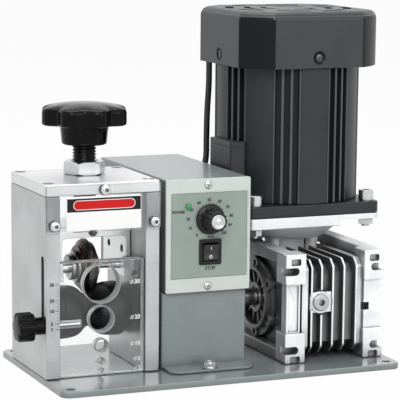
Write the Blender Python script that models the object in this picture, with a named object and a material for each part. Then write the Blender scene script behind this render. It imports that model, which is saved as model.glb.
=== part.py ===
"""Bench wire stripping machine, built as separate pieces.

Metres, +Z up, the operator's side towards -Y, the origin at the centre of the base plate's underside.
The left part is the cutting head, the middle part the drive cover with the control box on it, and the
right part the worm gearbox with the motor standing on it. Every piece is one closed body.
"""
import math

import bmesh
import bpy
from mathutils import Vector

MM = 0.001

# Clearances
SEAT_GAP = 0.3 * MM
RUN_GAP = 0.4 * MM
CUT_OVER = 2.0 * MM
TAPER_SHARE = 0.72

# Segments of round forms
FINE = 32
ROUND = 22
SMALL = 14
TINY = 8
NUT_STEPS = 24
CORNER_STEPS = 5
FILLET_STEPS = 4
HEX_SIDES = 6
ARC_MARGIN = 0.03 * MM

# Axes shared by the pieces
DRIVE_Y = 16.0 * MM
DRIVE_Z = 48.5 * MM
NIP_X = -95.3 * MM
MOTOR_X = 97.9 * MM
MOTOR_Y = 45.9 * MM
FLANGE_HALF = 60.2 * MM
MOTOR_LEFT_X = MOTOR_X - FLANGE_HALF

# Base plate
BASE_LENGTH = 294.0 * MM
BASE_DEPTH = 162.0 * MM
BASE_THICK = 5.0 * MM
BASE_CORNER = 8.0 * MM
BASE_HOLE_INSET = 9.5 * MM
BASE_HOLE_R = 3.5 * MM
DECK = BASE_THICK + SEAT_GAP

# Head frame
HEAD_X0 = -146.6 * MM
HEAD_X1 = -51.2 * MM
HEAD_Y0 = -38.7 * MM
HEAD_Y1 = 50.0 * MM
SIDE_THICK = 11.8 * MM
SIDE_TOP = 151.0 * MM
TOP_THICK = 9.1 * MM
TOP_Z0 = SIDE_TOP + SEAT_GAP
TOP_Z1 = TOP_Z0 + TOP_THICK
INNER_X0 = HEAD_X0 + SIDE_THICK
INNER_X1 = HEAD_X1 - SIDE_THICK
TOP_SCREW_X = (HEAD_X0 + SIDE_THICK / 2, HEAD_X1 - SIDE_THICK / 2)
TOP_SCREW_Y = (-29.0 * MM, 43.0 * MM)
TOP_SCREW_HEAD_R = 4.6 * MM
TOP_SCREW_SHANK_R = 2.5 * MM
TOP_SCREW_HEAD_H = 2.8 * MM
TOP_SCREW_REACH = 11.0 * MM
SOCKET_R = 1.6 * MM
SOCKET_DEPTH = 1.6 * MM
LEFT_BORE_DEPTH = 7.0 * MM

# Guard, its label and its screws
GUARD_THICK = 2.6 * MM
GUARD_Z0 = 122.4 * MM
GUARD_Z1 = 159.2 * MM
GUARD_Y1 = HEAD_Y0 - SEAT_GAP
GUARD_Y0 = GUARD_Y1 - GUARD_THICK
GUARD_SCREWS = ((-98.0 * MM, 155.2 * MM), (-139.6 * MM, 128.3 * MM), (-56.4 * MM, 127.9 * MM))
GUARD_SCREW_R = 2.0 * MM
GUARD_HEAD_R = 4.3 * MM
GUARD_HEAD_H = 2.9 * MM
GUARD_SCREW_REACH = 8.0 * MM
LABEL_X0 = -130.5 * MM
LABEL_X1 = -68.2 * MM
LABEL_Z0 = 123.8 * MM
LABEL_Z1 = 150.8 * MM
LABEL_THICK = 0.5 * MM

# Blade height screw, knob and nut
SCREW_R = 9.7 * MM
SCREW_ROOT_R = 8.5 * MM
SCREW_PITCH = 2.5 * MM
SCREW_LOW_Z = 121.4 * MM
SCREW_THREAD_Z = 122.5 * MM
SCREW_RIDGES = 28
SCREW_END_R = 6.0 * MM
SCREW_END_Z = 116.2 * MM
SCREW_TOP_Z = 201.8 * MM
NUT_CORNER_R = 17.3 * MM
NUT_HEIGHT = 12.0 * MM
NUT_TURN = math.radians(56.0)
NUT_CHAMFER = 1.4 * MM
KNOB_R = 34.0 * MM
KNOB_LOBE = 1.9 * MM
KNOB_LOBES = 8
KNOB_TURN = math.radians(3.5)
KNOB_STEPS = 48
HUB_Z0 = 184.6 * MM
HUB_R = 18.4 * MM
HUB_TOP_R = 19.5 * MM
RIM_Z0 = 200.6 * MM
RIM_Z1 = 214.2 * MM
KNOB_TOP = 218.4 * MM
DOME_R1 = 31.0 * MM
DOME_Z1 = 216.0 * MM
DOME_R2 = 18.0 * MM
DOME_Z2 = 217.9 * MM
DOME_R3 = 6.0 * MM
KNOB_EDGE = 1.0 * MM

# Blade carrier
CARRIER_Y0 = -5.0 * MM
CARRIER_Y1 = 49.0 * MM
CARRIER_TOP = 120.5 * MM
CARRIER_BRIDGE_Z = 111.6 * MM
CARRIER_Z0 = 77.0 * MM
ARM_LEFT_X = -121.6 * MM
ARM_RIGHT_X = -67.0 * MM
CARRIER_FILLET = 3.5 * MM
CARRIER_HOLE_R = 3.5 * MM
CARRIER_HOLE_Z = 116.1 * MM
CARRIER_HOLE_DEPTH = 9.0 * MM
CARRIER_SIDE_HOLE_R = 3.0 * MM
CARRIER_SIDE_HOLE_Z = 99.3 * MM
CARRIER_SIDE_HOLES_Y = (5.5 * MM, 35.5 * MM)

# Blade
BLADE_Z = 84.8 * MM
BLADE_R = 22.4 * MM
BLADE_EDGE = 2.4 * MM
BLADE_HALF = 7.2 * MM
BLADE_FACE_R = 9.5 * MM
BLADE_CHEEK_LEFT_R = 17.0 * MM
BLADE_CHEEK_LEFT_W = 2.0 * MM
BLADE_NECK_R = 21.0 * MM
BLADE_NECK_X = 3.2 * MM
BLADE_CHEEK_RIGHT_R = 19.4 * MM
BLADE_CHEEK_RIGHT_X = 5.4 * MM
AXLE_R = 4.5 * MM
AXLE_THIN_R = 3.0 * MM
AXLE_X0 = -133.6 * MM
AXLE_STEP_X = -85.0 * MM
AXLE_X1 = -64.0 * MM
COLLAR_LEFT_R = 13.5 * MM
COLLAR_LEFT_W = 7.6 * MM
COLLAR_RIGHT_R = 11.0 * MM
COLLAR_RIGHT_W = 2.4 * MM
COLLAR_EDGE = 1.2 * MM

# Guide plate with its lock
GUIDE_Y0 = -36.0 * MM
GUIDE_Y1 = -26.0 * MM
GUIDE_Z0 = 5.6 * MM
GUIDE_Z1 = 97.6 * MM
GUIDE_HOLES_X = -98.8 * MM
GUIDE_HOLES = ((15.0 * MM, 79.1 * MM), (10.0 * MM, 50.5 * MM), (5.0 * MM, 29.0 * MM),
               (2.5 * MM, 16.4 * MM), (1.5 * MM, 9.2 * MM))
GUIDE_HOLE_CHAMFER = 1.0 * MM
GUIDE_CHAMFER_SHARE = 0.33
GUIDE_FINE_HOLE_R = 5.0 * MM
LOCK_Z = 47.9 * MM
LOCK_Y = -31.0 * MM
LOCK_STUD_R = 3.0 * MM
LOCK_STUD_X1 = -116.0 * MM
LOCK_X0 = -169.0 * MM
LOCK_HEAD_X = -155.3 * MM
LOCK_X1 = -147.0 * MM
LOCK_HEAD_R = 11.0 * MM
LOCK_LOBE = 0.8 * MM
LOCK_LOBES = 6
LOCK_STEPS = 30
LOCK_SHANK_R = 7.0 * MM
LOCK_STUD_IN_KNOB = 13.0 * MM
LOCK_EDGE = 0.8 * MM
SLOT_WIDTH = 6.8 * MM
SLOT_Z0 = 44.5 * MM
SLOT_Z1 = 103.4 * MM

# Stop block on the right side plate
LUG_X0 = -70.6 * MM
LUG_Y0 = -20.5 * MM
LUG_Y1 = -5.8 * MM
LUG_Z0 = 78.6 * MM
LUG_Z1 = 95.2 * MM
LUG_HOLE_R = 2.4 * MM
LUG_HOLE_DEPTH = 5.0 * MM
LUG_HOLE_Z = 83.4 * MM

# Feed roller and drive shaft
ROLLER_R = 22.0 * MM
ROLLER_ROOT_R = 12.8 * MM
ROLLER_HALF = 31.2 * MM
ROLLER_LAND = 18.0 * MM
ROLLER_EDGE = 1.2 * MM
ROLLER_TOOTH = 0.7 * MM
ROLLER_STEPS = 36
SHAFT_R = 7.0 * MM
SHAFT_X0 = -141.2 * MM
SHAFT_X1 = 128.0 * MM
SHAFT_FREE_R = SHAFT_R + RUN_GAP

# Drive cover
COVER_X0 = -47.4 * MM
COVER_X1 = 26.4 * MM
COVER_Y0 = -34.2 * MM
COVER_Y1 = 66.0 * MM
COVER_Z1 = 67.2 * MM
COVER_WALL = 2.0 * MM
COVER_FOOT_Y = -57.5 * MM
COVER_FOOT_CORNER = 8.0 * MM
COVER_FOOT_LAP = 12.0 * MM
COVER_SHAFT_R = 10.0 * MM
COVER_BOLT_X = -12.0 * MM
COVER_BOLT_Y = -50.4 * MM
BOLT_SHANK_R = 2.5 * MM
BOLT_WASHER_R = 6.6 * MM
BOLT_WASHER_H = 1.3 * MM
BOLT_HEX_R = 5.3 * MM
BOLT_HEX_H = 3.6 * MM
BOLT_HEX_TURN = math.radians(15.0)
BOLT_END_Z = 1.0 * MM

# Control box
BOX_X0 = -45.0 * MM
BOX_MOTOR_GAP = 10.3 * MM
BOX_X1 = MOTOR_LEFT_X - BOX_MOTOR_GAP
BOX_Y0 = -35.6 * MM
BOX_Y1 = 116.0 * MM
BOX_Z0 = COVER_Z1 + SEAT_GAP
BOX_Z1 = 159.5 * MM
BOX_WALL = 2.0 * MM
CABLE_HOLE_R = 4.6 * MM
GLAND_X = -22.0 * MM
GLAND_Z = 92.0 * MM
GLAND_THREAD_R = 6.0 * MM
GLAND_BODY_R = 9.0 * MM
GLAND_CAP_R = 7.6 * MM
GLAND_BORE_R = 3.3 * MM
GLAND_BODY_L = 5.0 * MM
GLAND_LENGTH = 13.0 * MM
GLAND_INSIDE = 7.0 * MM

# Control panel
BEZEL_Y1 = BOX_Y0 - SEAT_GAP
BEZEL_THICK = 2.6 * MM
BEZEL_Y0 = BEZEL_Y1 - BEZEL_THICK
BEZEL_LAP = 0.5 * MM
BEZEL_X0 = BOX_X0 - BEZEL_LAP
BEZEL_X1 = BOX_X1 + BEZEL_LAP
BEZEL_Z0 = 67.6 * MM
BEZEL_Z1 = 159.6 * MM
WINDOW_X0 = -41.2 * MM
WINDOW_SIDE = 2.2 * MM
WINDOW_X1 = BOX_X1 - WINDOW_SIDE
WINDOW_Z0 = 79.0 * MM
WINDOW_Z1 = 148.2 * MM
PANEL_Y0 = -37.8 * MM
PANEL_Y1 = -36.2 * MM
BEZEL_SCREW_X = -9.4 * MM
BEZEL_SCREWS_Z = (154.6 * MM, 72.4 * MM)
BEZEL_SCREW_R = 1.6 * MM
BEZEL_HEAD_R = 3.3 * MM
BEZEL_HEAD_H = 1.7 * MM
BEZEL_SCREW_L = 9.0 * MM
DIAL_X = -7.5 * MM
DIAL_Z = 126.6 * MM
DIAL_SKIRT_R = 13.6 * MM
DIAL_SKIRT_H = 2.6 * MM
DIAL_BODY_R = 9.0 * MM
DIAL_FLUTE = 0.45 * MM
DIAL_FLUTES = 12
DIAL_STEPS = 36
DIAL_BODY_H = 13.8 * MM
DIAL_TAPER = 0.92
CAP_R = 6.9 * MM
CAP_H = 1.5 * MM
CAP_EDGE = 0.4 * MM
POT_SHAFT_R = 2.8 * MM
POT_BUSH_R = 3.6 * MM
POT_BODY_R = 8.0 * MM
POT_BODY_Y1 = -24.0 * MM
POT_SHAFT_L = 9.0 * MM
BOARD_X0 = -37.0 * MM
BOARD_SIDE = 8.8 * MM
BOARD_X1 = BOX_X1 - BOARD_SIDE
BOARD_Z0 = 114.0 * MM
BOARD_Z1 = 146.0 * MM
BOARD_THICK = 1.6 * MM
SWITCH_X = -7.2 * MM
SWITCH_Z = 100.0 * MM
SWITCH_W = 19.4 * MM
SWITCH_H = 21.0 * MM
SWITCH_LIP = 1.2 * MM
SWITCH_BODY_W = 17.0 * MM
SWITCH_BODY_H = 18.4 * MM
SWITCH_BODY_Y1 = -24.0 * MM
SWITCH_POCKET_W = 13.6 * MM
SWITCH_POCKET_H = 15.4 * MM
SWITCH_POCKET_Y1 = -29.0 * MM
ROCKER_W = 12.8 * MM
ROCKER_HALF = 6.6 * MM
ROCKER_PROUD = 3.2 * MM
ROCKER_DIP = 1.3 * MM
ROCKER_DEPTH = 4.0 * MM
ROCKER_REST = math.radians(7.0)
ROCKER_PIVOT_Y = -38.0 * MM
LAMP_X = -26.5 * MM
LAMP_Z = 137.6 * MM
LAMP_R = 3.1 * MM
LAMP_BEZEL_R = 4.3 * MM
LAMP_PROUD = 2.6 * MM
LAMP_RIM = 1.0 * MM
LAMP_BACK_Y = -30.0 * MM

# Gearbox
GEAR_X0 = 53.3 * MM
GEAR_X1 = 142.5 * MM
GEAR_Y0 = -54.5 * MM
GEAR_Y1 = 77.5 * MM
GEAR_TOP = 95.9 * MM
CORE_X0 = 62.0 * MM
CORE_X1 = 134.0 * MM
CORE_Y0 = -45.0 * MM
CORE_Y1 = 76.0 * MM
CORE_Z0 = 13.0 * MM
CORE_Z1 = 83.0 * MM
CORE_CHAMFER = 7.0 * MM
PAD_W = 18.0 * MM
PAD_H = 25.0 * MM
PAD_D = 19.0 * MM
RAIL_H = 9.2 * MM
RAIL_W = 13.0 * MM
STRIP_INSET = 2.0 * MM
STRIP_SIDE = 1.4 * MM
STRIP_W = 12.5 * MM
PAD_SLOT_H = 6.4 * MM
PAD_SLOT_DROP = 1.6 * MM
PAD_SLOT_D = 11.5 * MM
PAD_POCKET_W = 7.0 * MM
PAD_POCKET_H = 5.6 * MM
PAD_POCKET_D = 4.0 * MM
FINS_X = (78.2 * MM, 87.2 * MM, 97.4 * MM, 107.6 * MM, 118.8 * MM)
FIN_THICK = 1.7 * MM
FIN_Y0 = -51.5 * MM
FIN_TOP = 89.6 * MM
FIN_Z0 = 11.0 * MM
FIN_CHAMFER = 6.0 * MM
FIN_Y1 = 69.0 * MM
WALL_Y1 = 62.0 * MM
WALL_TOP = 88.6 * MM
WALL_Z0 = 10.7 * MM
WALL_LEFT_X = (70.0 * MM, 76.0 * MM)
WALL_RIGHT_X = (119.2 * MM, 126.0 * MM)
PLUG_X = 86.6 * MM
PLUG_Z = 54.2 * MM
PLUG_BOSS_R = 9.4 * MM
PLUG_BOSS_Y = -51.0 * MM
PLUG_CLEARING = 1.6 * MM
PLUG_HEX_R = 6.4 * MM
PLUG_COLLAR_R = 7.6 * MM
PLUG_COLLAR_H = 1.2 * MM
PLUG_HEX_H = 2.6 * MM
PLUG_HEX_TURN = math.radians(10.0)
PLUG_SHANK_R = 4.0 * MM
PLUG_SHANK_L = 5.0 * MM
WHEEL_BORE_R = 25.0 * MM
WHEEL_BORE_X1 = 118.0 * MM
WORM_BORE_R = 11.5 * MM
WORM_BORE_Z0 = 27.0 * MM
WORM_PILOT_Z0 = 17.7 * MM
OUT_COVER_R = 33.0 * MM
OUT_RING_R = 27.0 * MM
OUT_RING_IN_R = 23.5 * MM
OUT_HUB_R = 13.0 * MM
OUT_FLANGE_T = 3.2 * MM
OUT_RING_T = 3.6 * MM
OUT_FLOOR_T = 1.6 * MM
OUT_HUB_T = 4.6 * MM
OUT_BOLT_R = 2.4 * MM
OUT_BOLT_CIRCLE = 30.0 * MM
OUT_BOLT_DEPTH = 2.0 * MM
OUT_BOLTS = 6
OUT_BOLT_TURN = math.radians(30.0)
WHEEL_R = 20.4 * MM
WHEEL_ROOT_R = 18.6 * MM
WHEEL_TEETH = 30
WHEEL_HALF = 9.0 * MM
WORM_R = 8.8 * MM
WORM_ROOT_R = 6.6 * MM
WORM_PITCH = 4.0 * MM
WORM_RIDGES = 6
WORM_CREST = (1.4 * MM, 2.0 * MM)
WORM_SHAFT_R = 5.8 * MM
WORM_Z0 = 18.0 * MM
WORM_Z1 = 96.0 * MM
NECK_R = 17.0 * MM
NECK_CLEARING_R = 31.0 * MM
CONE_R0 = 33.0 * MM
CONE_R1 = 48.0 * MM
CONE_Z0 = 96.6 * MM
CONE_Z1 = 110.3 * MM
CONE_LIP_Z = 108.8 * MM
NECK_BOSS_R = 5.0 * MM
NECK_BOSS_AT = (17.6 * MM, 17.6 * MM)
INPUT_BORE_R = 12.5 * MM

# Adapter plate, motor flange and their bolts
ADAPTER_Z0 = 110.6 * MM
ADAPTER_STEP_Z = 115.4 * MM
ADAPTER_Z1 = 119.8 * MM
ADAPTER_STEP_X = 121.4 * MM
FLANGE_Z0 = ADAPTER_Z1 + SEAT_GAP
FLANGE_Z1 = 129.8 * MM
FLANGE_CORNER = 5.0 * MM
ADAPTER_BORE_R = 12.0 * MM
MOTOR_BOLT_INSET = 8.7 * MM
MOTOR_BOLT_AT = FLANGE_HALF - MOTOR_BOLT_INSET
MOTOR_BOLT_R = 3.2 * MM
MOTOR_BOLT_HEAD_R = 6.3 * MM
MOTOR_BOLT_HEAD_H = 8.6 * MM
MOTOR_BOLT_SOCKET_R = 3.2 * MM
MOTOR_BOLT_SOCKET_H = 3.6 * MM
MOTOR_NUT_R = 6.4 * MM
MOTOR_NUT_H = 5.6 * MM
MOTOR_BOLT_TAIL = 1.6 * MM

# Motor
BODY_OVERHANG = 0.7 * MM
BODY_R = FLANGE_HALF + BODY_OVERHANG
BODY_Z0 = FLANGE_Z1 + SEAT_GAP
BODY_Z1 = 242.8 * MM
BODY_GROUPS = 8
BODY_GROUP_TURN = math.radians(20.5)
BODY_GROOVES = 3
BODY_PLAIN_SHARES = (0.25, 0.5, 0.75)
GROOVE_PITCH = math.radians(7.0)
GROOVE_WIDTH = math.radians(3.2)
GROOVE_DEPTH = 3.2 * MM
BODY_WALL = 23.9 * MM
BODY_BORE_R = BODY_R - BODY_WALL
ROTOR_AIR_GAP = 3.0 * MM
ROTOR_R = BODY_BORE_R - ROTOR_AIR_GAP
ROTOR_Z0 = 142.0 * MM
ROTOR_Z1 = 226.0 * MM
ROTOR_TAIL_Z = WORM_Z1 + SEAT_GAP
ROTOR_TOP_Z = 262.0 * MM
FAN_Z0 = 246.0 * MM
FAN_Z1 = 266.0 * MM
FAN_HUB_R = 13.0 * MM
FAN_TIP_GAP = 14.9 * MM
FAN_BLADES = 7
FAN_BLADE_T = 2.0 * MM
FAN_BLADE_Z0 = 248.0 * MM
FAN_DISC_T = 2.0 * MM
FAN_BLADE_ROOT = 10.0 * MM
SHROUD_OVERHANG = 2.7 * MM
SHROUD_HALF = FLANGE_HALF + SHROUD_OVERHANG
SHROUD_BULGE = 12.1 * MM
SHROUD_REACH = SHROUD_HALF + SHROUD_BULGE
FAN_R = SHROUD_HALF - FAN_TIP_GAP
SHROUD_Z0 = 243.2 * MM
SHROUD_Z1 = 289.4 * MM
SHROUD_WALL = 2.0 * MM
SHROUD_ROUND = 5.0 * MM
SHROUD_ARC_STEPS = 6
SHROUD_CORNERS = 4
SHROUD_ROUND_STEPS = 3
VENT_RING_SHARES = (0.35, 0.57, 0.81)
VENT_COUNTS = (3, 4, 8)
VENT_WIDTH = 5.0 * MM
VENT_SHARE = 0.72
VENT_STEPS = 3

# Terminal box and motor cable
TERMINAL_OUT = 5.7 * MM
TERMINAL_X0 = MOTOR_LEFT_X - TERMINAL_OUT
TERMINAL_Y0 = 13.0 * MM
TERMINAL_Y1 = 57.0 * MM
TERMINAL_Z0 = 133.0 * MM
TERMINAL_Z1 = 181.0 * MM
TERMINAL_STEPS = 6
CABLE_LEAD_R = 1.9 * MM
CABLE_LEAD_OFF = 1.75 * MM
CABLE_SIDE_STEPS = 5
CABLE_ARC = math.radians(144.0)
CABLE_START_IN = 1.8 * MM
CABLE_X0 = MOTOR_LEFT_X + CABLE_START_IN
# How far left of its start each point of the cable lies, with its depth and height
CABLE_ROUTE = ((0.0 * MM, 78.0 * MM, 252.0 * MM), (0.0 * MM, 78.0 * MM, 225.0 * MM),
               (0.9 * MM, 79.0 * MM, 200.0 * MM), (0.7 * MM, 80.5 * MM, 178.0 * MM),
               (1.1 * MM, 80.0 * MM, 162.0 * MM), (3.1 * MM, 79.5 * MM, 152.0 * MM),
               (6.3 * MM, 79.0 * MM, 147.0 * MM), (15.9 * MM, 79.0 * MM, 145.0 * MM))
CABLE_HOLE_Y = 79.0 * MM
CABLE_HOLE_Z = 145.6 * MM

# Colours of the pieces
METAL_LIGHT = ("brushed aluminium", (0.80, 0.81, 0.82), 1.0, 0.35)
METAL_STEEL = ("bright steel", (0.62, 0.62, 0.63), 1.0, 0.28)
METAL_DARK = ("dark steel", (0.08, 0.07, 0.07), 1.0, 0.30)
METAL_CAST = ("cast aluminium", (0.66, 0.68, 0.69), 1.0, 0.48)
METAL_CAST_DARK = ("dark casting", (0.10, 0.10, 0.11), 1.0, 0.50)
PAINT_GREY = ("grey paint", (0.36, 0.40, 0.41), 0.0, 0.40)
PAINT_SAGE = ("sage paint", (0.42, 0.50, 0.46), 0.0, 0.50)
PAINT_PALE = ("pale paint", (0.70, 0.74, 0.72), 0.0, 0.45)
PAINT_BLACK = ("black paint", (0.03, 0.033, 0.036), 0.0, 0.42)
PLASTIC_BLACK = ("black plastic", (0.012, 0.012, 0.013), 0.0, 0.25)
PLASTIC_WHITE = ("white film", (0.86, 0.86, 0.86), 0.0, 0.45)
CLEAR = ("clear acrylic", (0.86, 0.90, 0.90), 0.0, 0.08)
GREEN = ("green lens", (0.05, 0.55, 0.20), 0.0, 0.15)
BOARD_GREEN = ("board green", (0.02, 0.22, 0.10), 0.0, 0.45)
BRONZE = ("bronze", (0.55, 0.35, 0.14), 1.0, 0.35)


class Assembly:
    """The collections of the machine and the way a piece is put into them."""

    def __init__(self, name):
        for old in list(bpy.data.objects):
            bpy.data.objects.remove(old, do_unlink=True)
        scene = bpy.context.scene
        self.parts = bpy.data.collections.new(name)
        self.helpers = bpy.data.collections.new("cutters")
        scene.collection.children.link(self.parts)
        scene.collection.children.link(self.helpers)
        self.helpers.hide_render = True

    def piece(self, name, shape, colour, pivot=(0, 0, 0)):
        """Make one piece from a shape; its origin goes to the pivot, given in machine coordinates."""
        obj = self._object(name, shape, pivot)
        self.parts.objects.link(obj)
        obj.data.materials.append(finish(name, colour))
        return obj

    def cut(self, target, name, shape):
        """Take a shape away from a piece."""
        self._combine(target, name, shape, "DIFFERENCE")

    def join(self, target, name, shape):
        """Add a shape to a piece, so that both are one body."""
        self._combine(target, name, shape, "UNION")

    def _combine(self, target, name, shape, operation):
        helper = self._object(name, shape, (0, 0, 0))
        self.helpers.objects.link(helper)
        helper.hide_render = True
        helper.display_type = "WIRE"
        step = target.modifiers.new(name, "BOOLEAN")
        step.operation = operation
        step.solver = "EXACT"
        step.object = helper

    def _object(self, name, shape, pivot):
        at = Vector(pivot)
        for vert in shape.verts:
            vert.co -= at
        bmesh.ops.recalc_face_normals(shape, faces=shape.faces)
        mesh = bpy.data.meshes.new(name)
        shape.to_mesh(mesh)
        shape.free()
        obj = bpy.data.objects.new(name, mesh)
        obj.location = at
        return obj


def finish(name, colour):
    """Give a piece its own Principled material."""
    _, base, metallic, roughness = colour
    material = bpy.data.materials.new(name)
    material.use_nodes = True
    shader = material.node_tree.nodes["Principled BSDF"]
    shader.inputs["Base Color"].default_value = (*base, 1.0)
    shader.inputs["Metallic"].default_value = metallic
    shader.inputs["Roughness"].default_value = roughness
    return material


def place(axis, u, v, w):
    """Turn outline coordinates and a height into a point; outlines are YZ, XZ or XY."""
    if axis == "X":
        return (w, u, v)
    if axis == "Y":
        return (u, w, v)
    return (u, v, w)


def stack(shape, rings):
    """Skin equal rings of points one after another and close both ends."""
    rows = [[shape.verts.new(point) for point in ring] for ring in rings]
    for low, high in zip(rows, rows[1:]):
        for i in range(len(low)):
            j = (i + 1) % len(low)
            shape.faces.new((low[i], low[j], high[j], high[i]))
    shape.faces.new(list(reversed(rows[0])))
    shape.faces.new(rows[-1])
    return shape


def prism(outline, low, high, axis="Z", shape=None):
    """Extrude a closed outline between two heights along an axis."""
    shape = shape or bmesh.new()
    return stack(shape, [[place(axis, u, v, w) for u, v in outline] for w in (low, high)])


def block(low, high, shape=None):
    """Box between two corners."""
    outline = ((low[0], low[1]), (high[0], low[1]), (high[0], high[1]), (low[0], high[1]))
    return prism(outline, low[2], high[2], "Z", shape)


def circle(radius, steps, centre=(0, 0), turn=0.0):
    """Points of a circle about a centre."""
    angles = [turn + math.tau * i / steps for i in range(steps)]
    return [(centre[0] + radius * math.cos(a), centre[1] + radius * math.sin(a)) for a in angles]


def lobed(radius, swing, lobes, steps, centre=(0, 0), turn=0.0):
    """Points of a circle whose radius swings out once for each lobe."""
    points = []
    for i in range(steps):
        angle = turn + math.tau * i / steps
        reach = radius + swing * math.cos(lobes * (angle - turn))
        points.append((centre[0] + reach * math.cos(angle), centre[1] + reach * math.sin(angle)))
    return points


def rounded(x0, y0, x1, y1, radius, steps):
    """Rectangle with round corners."""
    points = []
    corners = ((x1 - radius, y1 - radius), (x0 + radius, y1 - radius), (x0 + radius, y0 + radius),
               (x1 - radius, y0 + radius))
    for k, (cx, cy) in enumerate(corners):
        for i in range(steps + 1):
            angle = math.pi / 2 * (k + i / steps)
            points.append((cx + radius * math.cos(angle), cy + radius * math.sin(angle)))
    return points


def rod(radius, low, high, centre, axis="Z", steps=SMALL, shape=None):
    """Cylinder about a centre given in the outline's plane."""
    return prism(circle(radius, steps, centre), low, high, axis, shape)


def lathe(profile, centre, axis="Z", steps=ROUND, shape=None, turn=0.0):
    """Turn a profile of (radius, height) points about an axis; both ends are closed flat."""
    shape = shape or bmesh.new()
    rings = []
    for radius, height in profile:
        rings.append([place(axis, u, v, height) for u, v in circle(radius, steps, centre, turn)])
    return stack(shape, rings)


def tube(profile, centre, axis="Z", steps=ROUND, turn=0.0):
    """Turn a closed profile of (radius, height) points about an axis, which gives a body with a bore."""
    shape = bmesh.new()
    rows = []
    for radius, height in profile:
        ring = circle(radius, steps, centre, turn)
        rows.append([shape.verts.new(place(axis, u, v, height)) for u, v in ring])
    for k, low in enumerate(rows):
        high = rows[(k + 1) % len(rows)]
        for i in range(steps):
            j = (i + 1) % steps
            shape.faces.new((low[i], low[j], high[j], high[i]))
    return shape


def build_base(machine):
    """Painted plate that carries everything, with its four corner holes."""
    half_x = BASE_LENGTH / 2
    half_y = BASE_DEPTH / 2
    outline = rounded(-half_x, -half_y, half_x, half_y, BASE_CORNER, CORNER_STEPS)
    base = machine.piece("base_plate", prism(outline, 0, BASE_THICK), PAINT_GREY)
    holes = bmesh.new()
    for sx in (-1, 1):
        for sy in (-1, 1):
            centre = (sx * (half_x - BASE_HOLE_INSET), sy * (half_y - BASE_HOLE_INSET))
            rod(BASE_HOLE_R, -CUT_OVER, BASE_THICK + CUT_OVER, centre, shape=holes)
    at = (COVER_BOLT_X, COVER_BOLT_Y)
    rod(BOLT_SHANK_R + RUN_GAP, -CUT_OVER, BASE_THICK + CUT_OVER, at, shape=holes)
    machine.cut(base, "base_plate_holes", holes)


def top_screw_holes(x, holes):
    """Blind holes in the top of a side plate, for the screws of the top plate."""
    for y in TOP_SCREW_Y:
        low = SIDE_TOP - TOP_SCREW_REACH - CUT_OVER
        rod(TOP_SCREW_SHANK_R + RUN_GAP, low, SIDE_TOP + CUT_OVER, (x, y), steps=TINY, shape=holes)


def guard_screw_hole(at, holes):
    """Blind hole from the front for a guard screw."""
    high = HEAD_Y0 + GUARD_SCREW_REACH + SEAT_GAP
    rod(GUARD_SCREW_R + RUN_GAP, HEAD_Y0 - CUT_OVER, high, at, "Y", TINY, holes)


def build_side_plates(machine):
    """Left plate with the slot of the guide lock, right plate with the shaft bore and the stop block."""
    shape = block((HEAD_X0, HEAD_Y0, DECK), (INNER_X0, HEAD_Y1, SIDE_TOP))
    left = machine.piece("left_side_plate", shape, METAL_LIGHT)
    holes = bmesh.new()
    half = SLOT_WIDTH / 2
    slot = rounded(LOCK_Y - half, SLOT_Z0, LOCK_Y + half, SLOT_Z1, half - ARC_MARGIN, CORNER_STEPS)
    prism(slot, HEAD_X0 - CUT_OVER, INNER_X0 + CUT_OVER, "X", holes)
    rod(SHAFT_FREE_R, INNER_X0 - LEFT_BORE_DEPTH, INNER_X0 + CUT_OVER, (DRIVE_Y, DRIVE_Z), "X", SMALL, holes)
    top_screw_holes(TOP_SCREW_X[0], holes)
    guard_screw_hole(GUARD_SCREWS[1], holes)
    machine.cut(left, "left_side_plate_holes", holes)

    shape = block((INNER_X1, HEAD_Y0, DECK), (HEAD_X1, HEAD_Y1, SIDE_TOP))
    right = machine.piece("right_side_plate", shape, METAL_LIGHT)
    lug = block((LUG_X0, LUG_Y0, LUG_Z0), (INNER_X1 + CUT_OVER, LUG_Y1, LUG_Z1))
    machine.join(right, "right_side_plate_lug", lug)
    holes = bmesh.new()
    rod(SHAFT_FREE_R, INNER_X1 - CUT_OVER, HEAD_X1 + CUT_OVER, (DRIVE_Y, DRIVE_Z), "X", SMALL, holes)
    top_screw_holes(TOP_SCREW_X[1], holes)
    guard_screw_hole(GUARD_SCREWS[2], holes)
    lug_x = (LUG_X0 + INNER_X1) / 2
    lug_y = (LUG_Y0 + LUG_Y1) / 2
    rod(LUG_HOLE_R, LUG_Z1 - LUG_HOLE_DEPTH, LUG_Z1 + CUT_OVER, (lug_x, lug_y), steps=TINY, shape=holes)
    rod(LUG_HOLE_R, LUG_Y0 - CUT_OVER, LUG_Y0 + LUG_HOLE_DEPTH, (lug_x, LUG_HOLE_Z), "Y", TINY, holes)
    machine.cut(right, "right_side_plate_holes", holes)


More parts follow.
